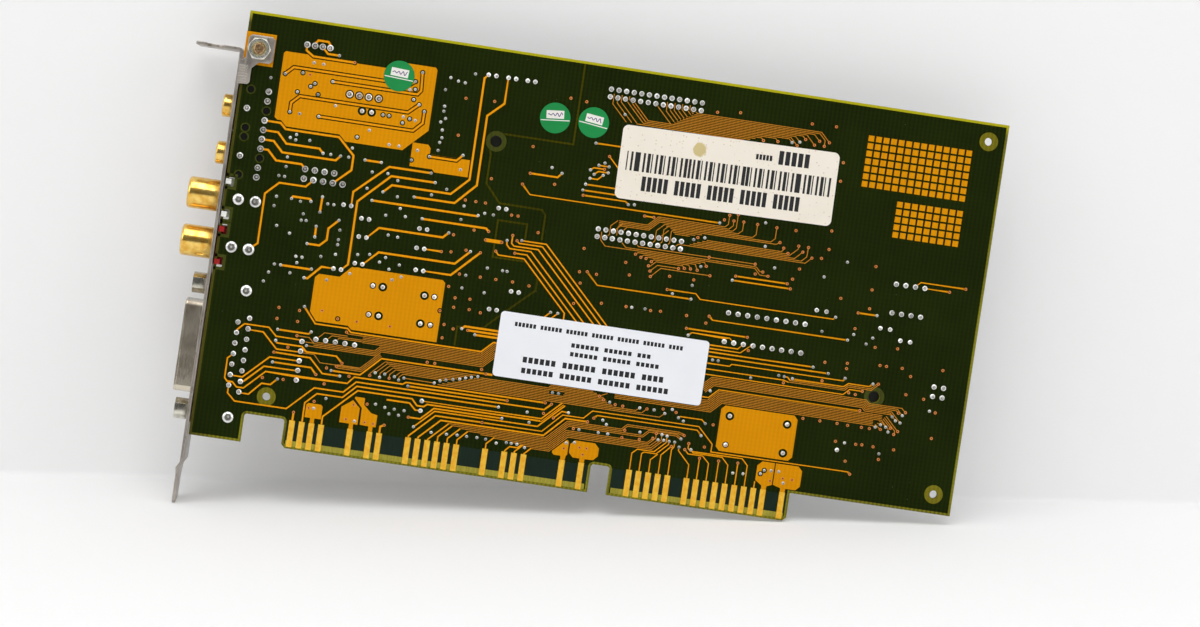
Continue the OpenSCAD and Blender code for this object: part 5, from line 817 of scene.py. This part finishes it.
# Solder: each pad has a fillet that climbs the lead in a hollow curve and ends round its cut end.
# The wave leaves no two alike, so height, width and lean differ a little from joint to joint.
# The profile runs from the pad's rim to the lead as [share of the radius, share of the height].
fillet_profile = [[1, 0], [0.98, 0.14], [0.88, 0.27], [0.74, 0.38], [0.6, 0.52], [0.48, 0.72],
                  [0.38, 0.9], [0.26, 1]]
lead_profile = [[1, 0], [1, 0.8], [0.8, 1]]
most_lean = 0.35
thin_fillet = 1.7
thickest_lead = 0.3 * mm
lead_share = 0.36
lead_rise = 0.1 * mm
lead_sunk = 0.03 * mm
solder_metal = metal("solder_metal", linear(226, 226, 222), linear(248, 248, 244), 0.18, 0.12,
                     metallic=0.55)
filled_metal = metal("filled_metal", linear(138, 138, 132), linear(196, 196, 190), 0.3, 0.12,
                     metallic=0.6)
lead_metal = metal("lead_metal", linear(150, 148, 144), linear(216, 214, 208), 0.4, 0.2,
                   (6000, 6000, 6000), 2000.0, 0.4, metallic=0.6)


def chance(places, seed):
    """A number from 0 to 1 for each [x, z] place: the fraction of a large sine of the place."""
    value = np.sin(places[:, 0] * 12.9898e3 + places[:, 1] * 78.233e3 + seed * 37.7) * 43758.5453
    return value - np.floor(value)


def turned(middle, radius, rise, base, lean, profile, around=14):
    """Turned drops on the solder face: the ring [r, h] of the profile is the circle
    middle + radius r (cos t, sin t) + lean h h, at the height base - rise h. The last ring is
    closed by a middle point."""
    t = np.arange(around) * 2 * math.pi / around
    r, h = np.asarray(profile, float).T
    wide = radius[:, None, None] * r[None, :, None]
    x = middle[:, 0, None, None] + wide * np.cos(t) + (lean[:, 0, None] * h * h)[:, :, None]
    z = middle[:, 1, None, None] + wide * np.sin(t) + (lean[:, 1, None] * h * h)[:, :, None]
    y = np.broadcast_to((base[:, None] - rise[:, None] * h)[:, :, None], x.shape)
    drops = np.stack([x, y, z], axis=-1).reshape(len(middle), -1, 3)
    tops = drops[:, -around:].mean(axis=1, keepdims=True)
    points = np.concatenate([drops, tops], axis=1)
    count = points.shape[1]
    side = grid_faces(len(r), around, ring_columns=True, flip=True)
    step = np.arange(around)
    last = (len(r) - 1) * around
    cap = np.column_stack([last + step, last + (step + 1) % around, np.full(around, count - 1)])
    shift = np.arange(len(middle))[:, None, None] * count
    return points.reshape(-1, 3), [(side[None] + shift).reshape(-1, 4), (cap[None] + shift).reshape(-1, 3)]


def painted_reflection_ring(made, low, high, color):
    """Paints a dark reflection on solder where its height above the board is from low to high: the
    hollow beside the lead, which would mirror only the lead."""
    tree = made.node_tree
    lay_over(made, ramp(tree, place_parts(tree)["Y"], -low, -high), color)


joint_r = pad_r * (0.99 + 0.04 * chance(joint_at, 1))
joint_rise = joint_size[:, 1] * (0.85 + 0.3 * chance(joint_at, 2))
joint_rise *= np.minimum(pad_r / audio_pad, 1) ** thin_fillet
lean_way = np.column_stack([chance(joint_at, 3), chance(joint_at, 4)]) - 0.5
joint_lean = lean_way * most_lean * joint_r[:, None]
joint_foot = -np.median(joint_high[:, 1])
highest_rise = joint_rise.max()
# Painted reflection: a dark band on the fillets' hollow, partway up each joint.
painted_reflection_ring(solder_metal, joint_foot + 0.3 * highest_rise, joint_foot + 0.52 * highest_rise,
            linear(104, 104, 99))
fillets = piece("solder_fillets", [turned(joint_at, joint_r, joint_rise, joint_high[:, 1],
                                          joint_lean, fillet_profile)], solder_metal, True)
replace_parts(fillets, "solder_joints")
lead_r = np.minimum(thickest_lead, lead_share * joint_r)
lead_foot = joint_high[:, 1] - joint_rise + lead_sunk
piece("lead_ends", [turned(joint_at + joint_lean, lead_r, np.full(len(joint_at), lead_rise), lead_foot,
                           joint_lean * 0, lead_profile, 10)], lead_metal)
dress("tinned_holes", filled_metal)

# Moulded plastic: connector bodies of nylon, chip bodies of filled epoxy and glazed ceramic, each
# with the fine texture of its mould in its normal and a slow drift of colour.
mould_depth = 0.02 * mm


def moulding(name, dark, pale, roughness, bump=0.25, scale=2500.0, specular=0.4):
    """Plastic with a fine grain in its normal and a slow drift in its colour."""
    made = material(name, dark, roughness, specular=specular)
    grain = grained(made, (scale, scale, scale), 90.0)
    lead_to(made, "Base Color", mixed(made.node_tree, grain["Blotch"], dark, pale))
    raise_grain(made, grain["Line"], bump, mould_depth)
    return made


black_nylon = moulding("black_nylon", linear(6, 7, 6), linear(14, 15, 13), 0.5, specular=0.12)
chip_epoxy = moulding("chip_epoxy", linear(28, 28, 29), linear(40, 40, 41), 0.6, 0.4)
for node in ("headphone_jacks", "game_port_insulator", "memory_sockets", "jumper_headers"):
    dress(node, black_nylon)
for node in ("sound_processor", "bus_controller", "converter_chip", "memory_chips", "dip_chips",
             "amplifier_chips", "voltage_regulators", "resistor_networks"):
    dress(node, chip_epoxy)
dress("white_phono_housing", moulding("white_nylon", linear(222, 222, 216), linear(240, 240, 234), 0.4))
dress("red_phono_housing", moulding("red_nylon", linear(136, 8, 6), linear(170, 16, 12), 0.45))
dress("audio_connectors", moulding("natural_nylon", linear(222, 218, 204), linear(236, 232, 220), 0.45))
dress("jumper_caps", moulding("blue_nylon", linear(20, 36, 120), linear(30, 50, 150), 0.4))
dress("capacitor_sleeves", moulding("sleeve_film", linear(24, 30, 74), linear(34, 42, 92), 0.28, 0.1))
dress("chip_capacitors", moulding("tan_ceramic", linear(168, 138, 100), linear(190, 160, 120), 0.5))
dress("chip_resistors", moulding("resistor_glaze", linear(24, 24, 26), linear(40, 40, 42), 0.35))

# Paper labels: coated paper, stuck on over the tracks. The barcode label has yellowed, with a
# spill mark near its top and foxing all over; the other label is newer and bluish white.
spill_at = (94.7, 93)
spill_size = (3.5, 4)


def stained(made, place, size, color):
    """Adds a mark to a paper: where the distance from its middle, with noise in it, is short."""
    tree = made.node_tree
    vector = object_place(tree)
    centred = add(tree, "ShaderNodeMapping",
                  {"Vector": vector, "Location": (place[0] * mm + first_contact, 0, place[1] * mm),
                   "Scale": (size[0] / 2 * mm, 1, size[1] / 2 * mm)}, vector_type="TEXTURE")
    flat = add(tree, "ShaderNodeVectorMath", {0: centred.outputs["Vector"], 1: (1, 0, 1)},
               operation="MULTIPLY")
    reach = add(tree, "ShaderNodeVectorMath", {0: flat.outputs[0]}, operation="LENGTH")
    wobble = add(tree, "ShaderNodeTexNoise", {"Vector": vector, "Scale": 900, "Detail": 3})
    edge = calc(tree, "MULTIPLY_ADD", wobble.outputs["Fac"], 0.9, reach.outputs["Value"])
    lay_over(made, ramp(tree, edge, 1.5, 1.3), color)
    return made


def foxed(made, color):
    """Adds small brown points to a paper: the cells of a Voronoi pattern whose middle is close and
    whose own random value is high."""
    tree = made.node_tree
    cells = add(tree, "ShaderNodeTexVoronoi", {"Vector": object_place(tree), "Scale": 1300}).outputs
    near = ramp(tree, cells["Distance"], 0.3, 0.1, end=0.55)
    own = add(tree, "ShaderNodeSeparateColor", {0: cells["Color"]}).outputs[0]
    lay_over(made, calc(tree, "MULTIPLY", near, calc(tree, "GREATER_THAN", own, 0.72)), color)
    return made


cream_paper = moulding("cream_paper", linear(234, 225, 209), linear(243, 236, 223), 0.6, 0.5, 900)
foxed(cream_paper, linear(176, 130, 86))
dress("barcode_label", stained(cream_paper, spill_at, spill_size, linear(206, 188, 132)))
dress("plain_label", moulding("white_paper", linear(233, 235, 241), linear(243, 245, 249), 0.55, 0.5, 900))
dress("round_stickers", moulding("green_paper", linear(0, 128, 58), linear(0, 142, 68), 0.5, 0.3, 900))
dress("label_print", moulding("label_ink", linear(16, 16, 18), linear(32, 32, 34), 0.6, 0.3, 900))

# Inspection stickers: a white field for an initial in pen, and a thin white rule below it. Each
# is stuck on a little askew, and the pen's stroke is a sine wave that grows along its run.
sticker_points, _, sticker_solid = joined(*corners_of("round_stickers"))
sticker_low, sticker_high = solid_boxes(sticker_points, sticker_solid)
sticker_turns = (-0.06, 0.1, -0.12)
field_w, field_h, field_rise = 4.6, 2.1, 0.9
rule_w, rule_drop, rule_end = 0.24, 1.5, 0.4
pen_w, pen_rise, pen_waves = 0.2, 0.55, 26


def on_sticker(path, width, y):
    """A strip of a given width along a path on the solder side's paper."""
    return strip(path, width / 2, width / 2, y)


sticker_paper = []
pen_marks = []
for low, high, turn in zip(sticker_low, sticker_high, sticker_turns):
    x = ((low + high)[0] / 2 - first_contact) / mm
    z = (low + high)[2] / 2 / mm
    along = np.array([math.cos(turn), math.sin(turn)])
    over = np.array([-along[1], along[0]])
    centre = np.array([x, z]) + field_rise * over
    run = np.linspace(-0.5, 0.5, 9)[:, None]
    sticker_paper.append(on_sticker(centre + run * field_w * along, field_h, low[1] - skin))
    sticker_r = (high - low)[0] / 2 / mm
    rule_length = 2 * math.sqrt(sticker_r ** 2 - (rule_drop - field_rise) ** 2) - rule_end
    sticker_paper.append(on_sticker(centre - rule_drop * over + run * rule_length * along, rule_w,
                                    low[1] - skin))
    run = np.linspace(-0.42, 0.42, 40)[:, None]
    stroke = pen_rise * np.sin(pen_waves * run + 50 * turn) * (0.6 + run)
    pen_marks.append(on_sticker(centre + run * field_w * along + stroke * over, pen_w,
                                low[1] - 2 * skin))
piece("sticker_fields", sticker_paper,
      moulding("field_paper", linear(226, 222, 216), linear(240, 238, 232), 0.6, 0.4, 900))
piece("pen_marks", pen_marks,
      moulding("pen_ink", linear(58, 34, 96), linear(90, 60, 130), 0.5, 0.2, 900))
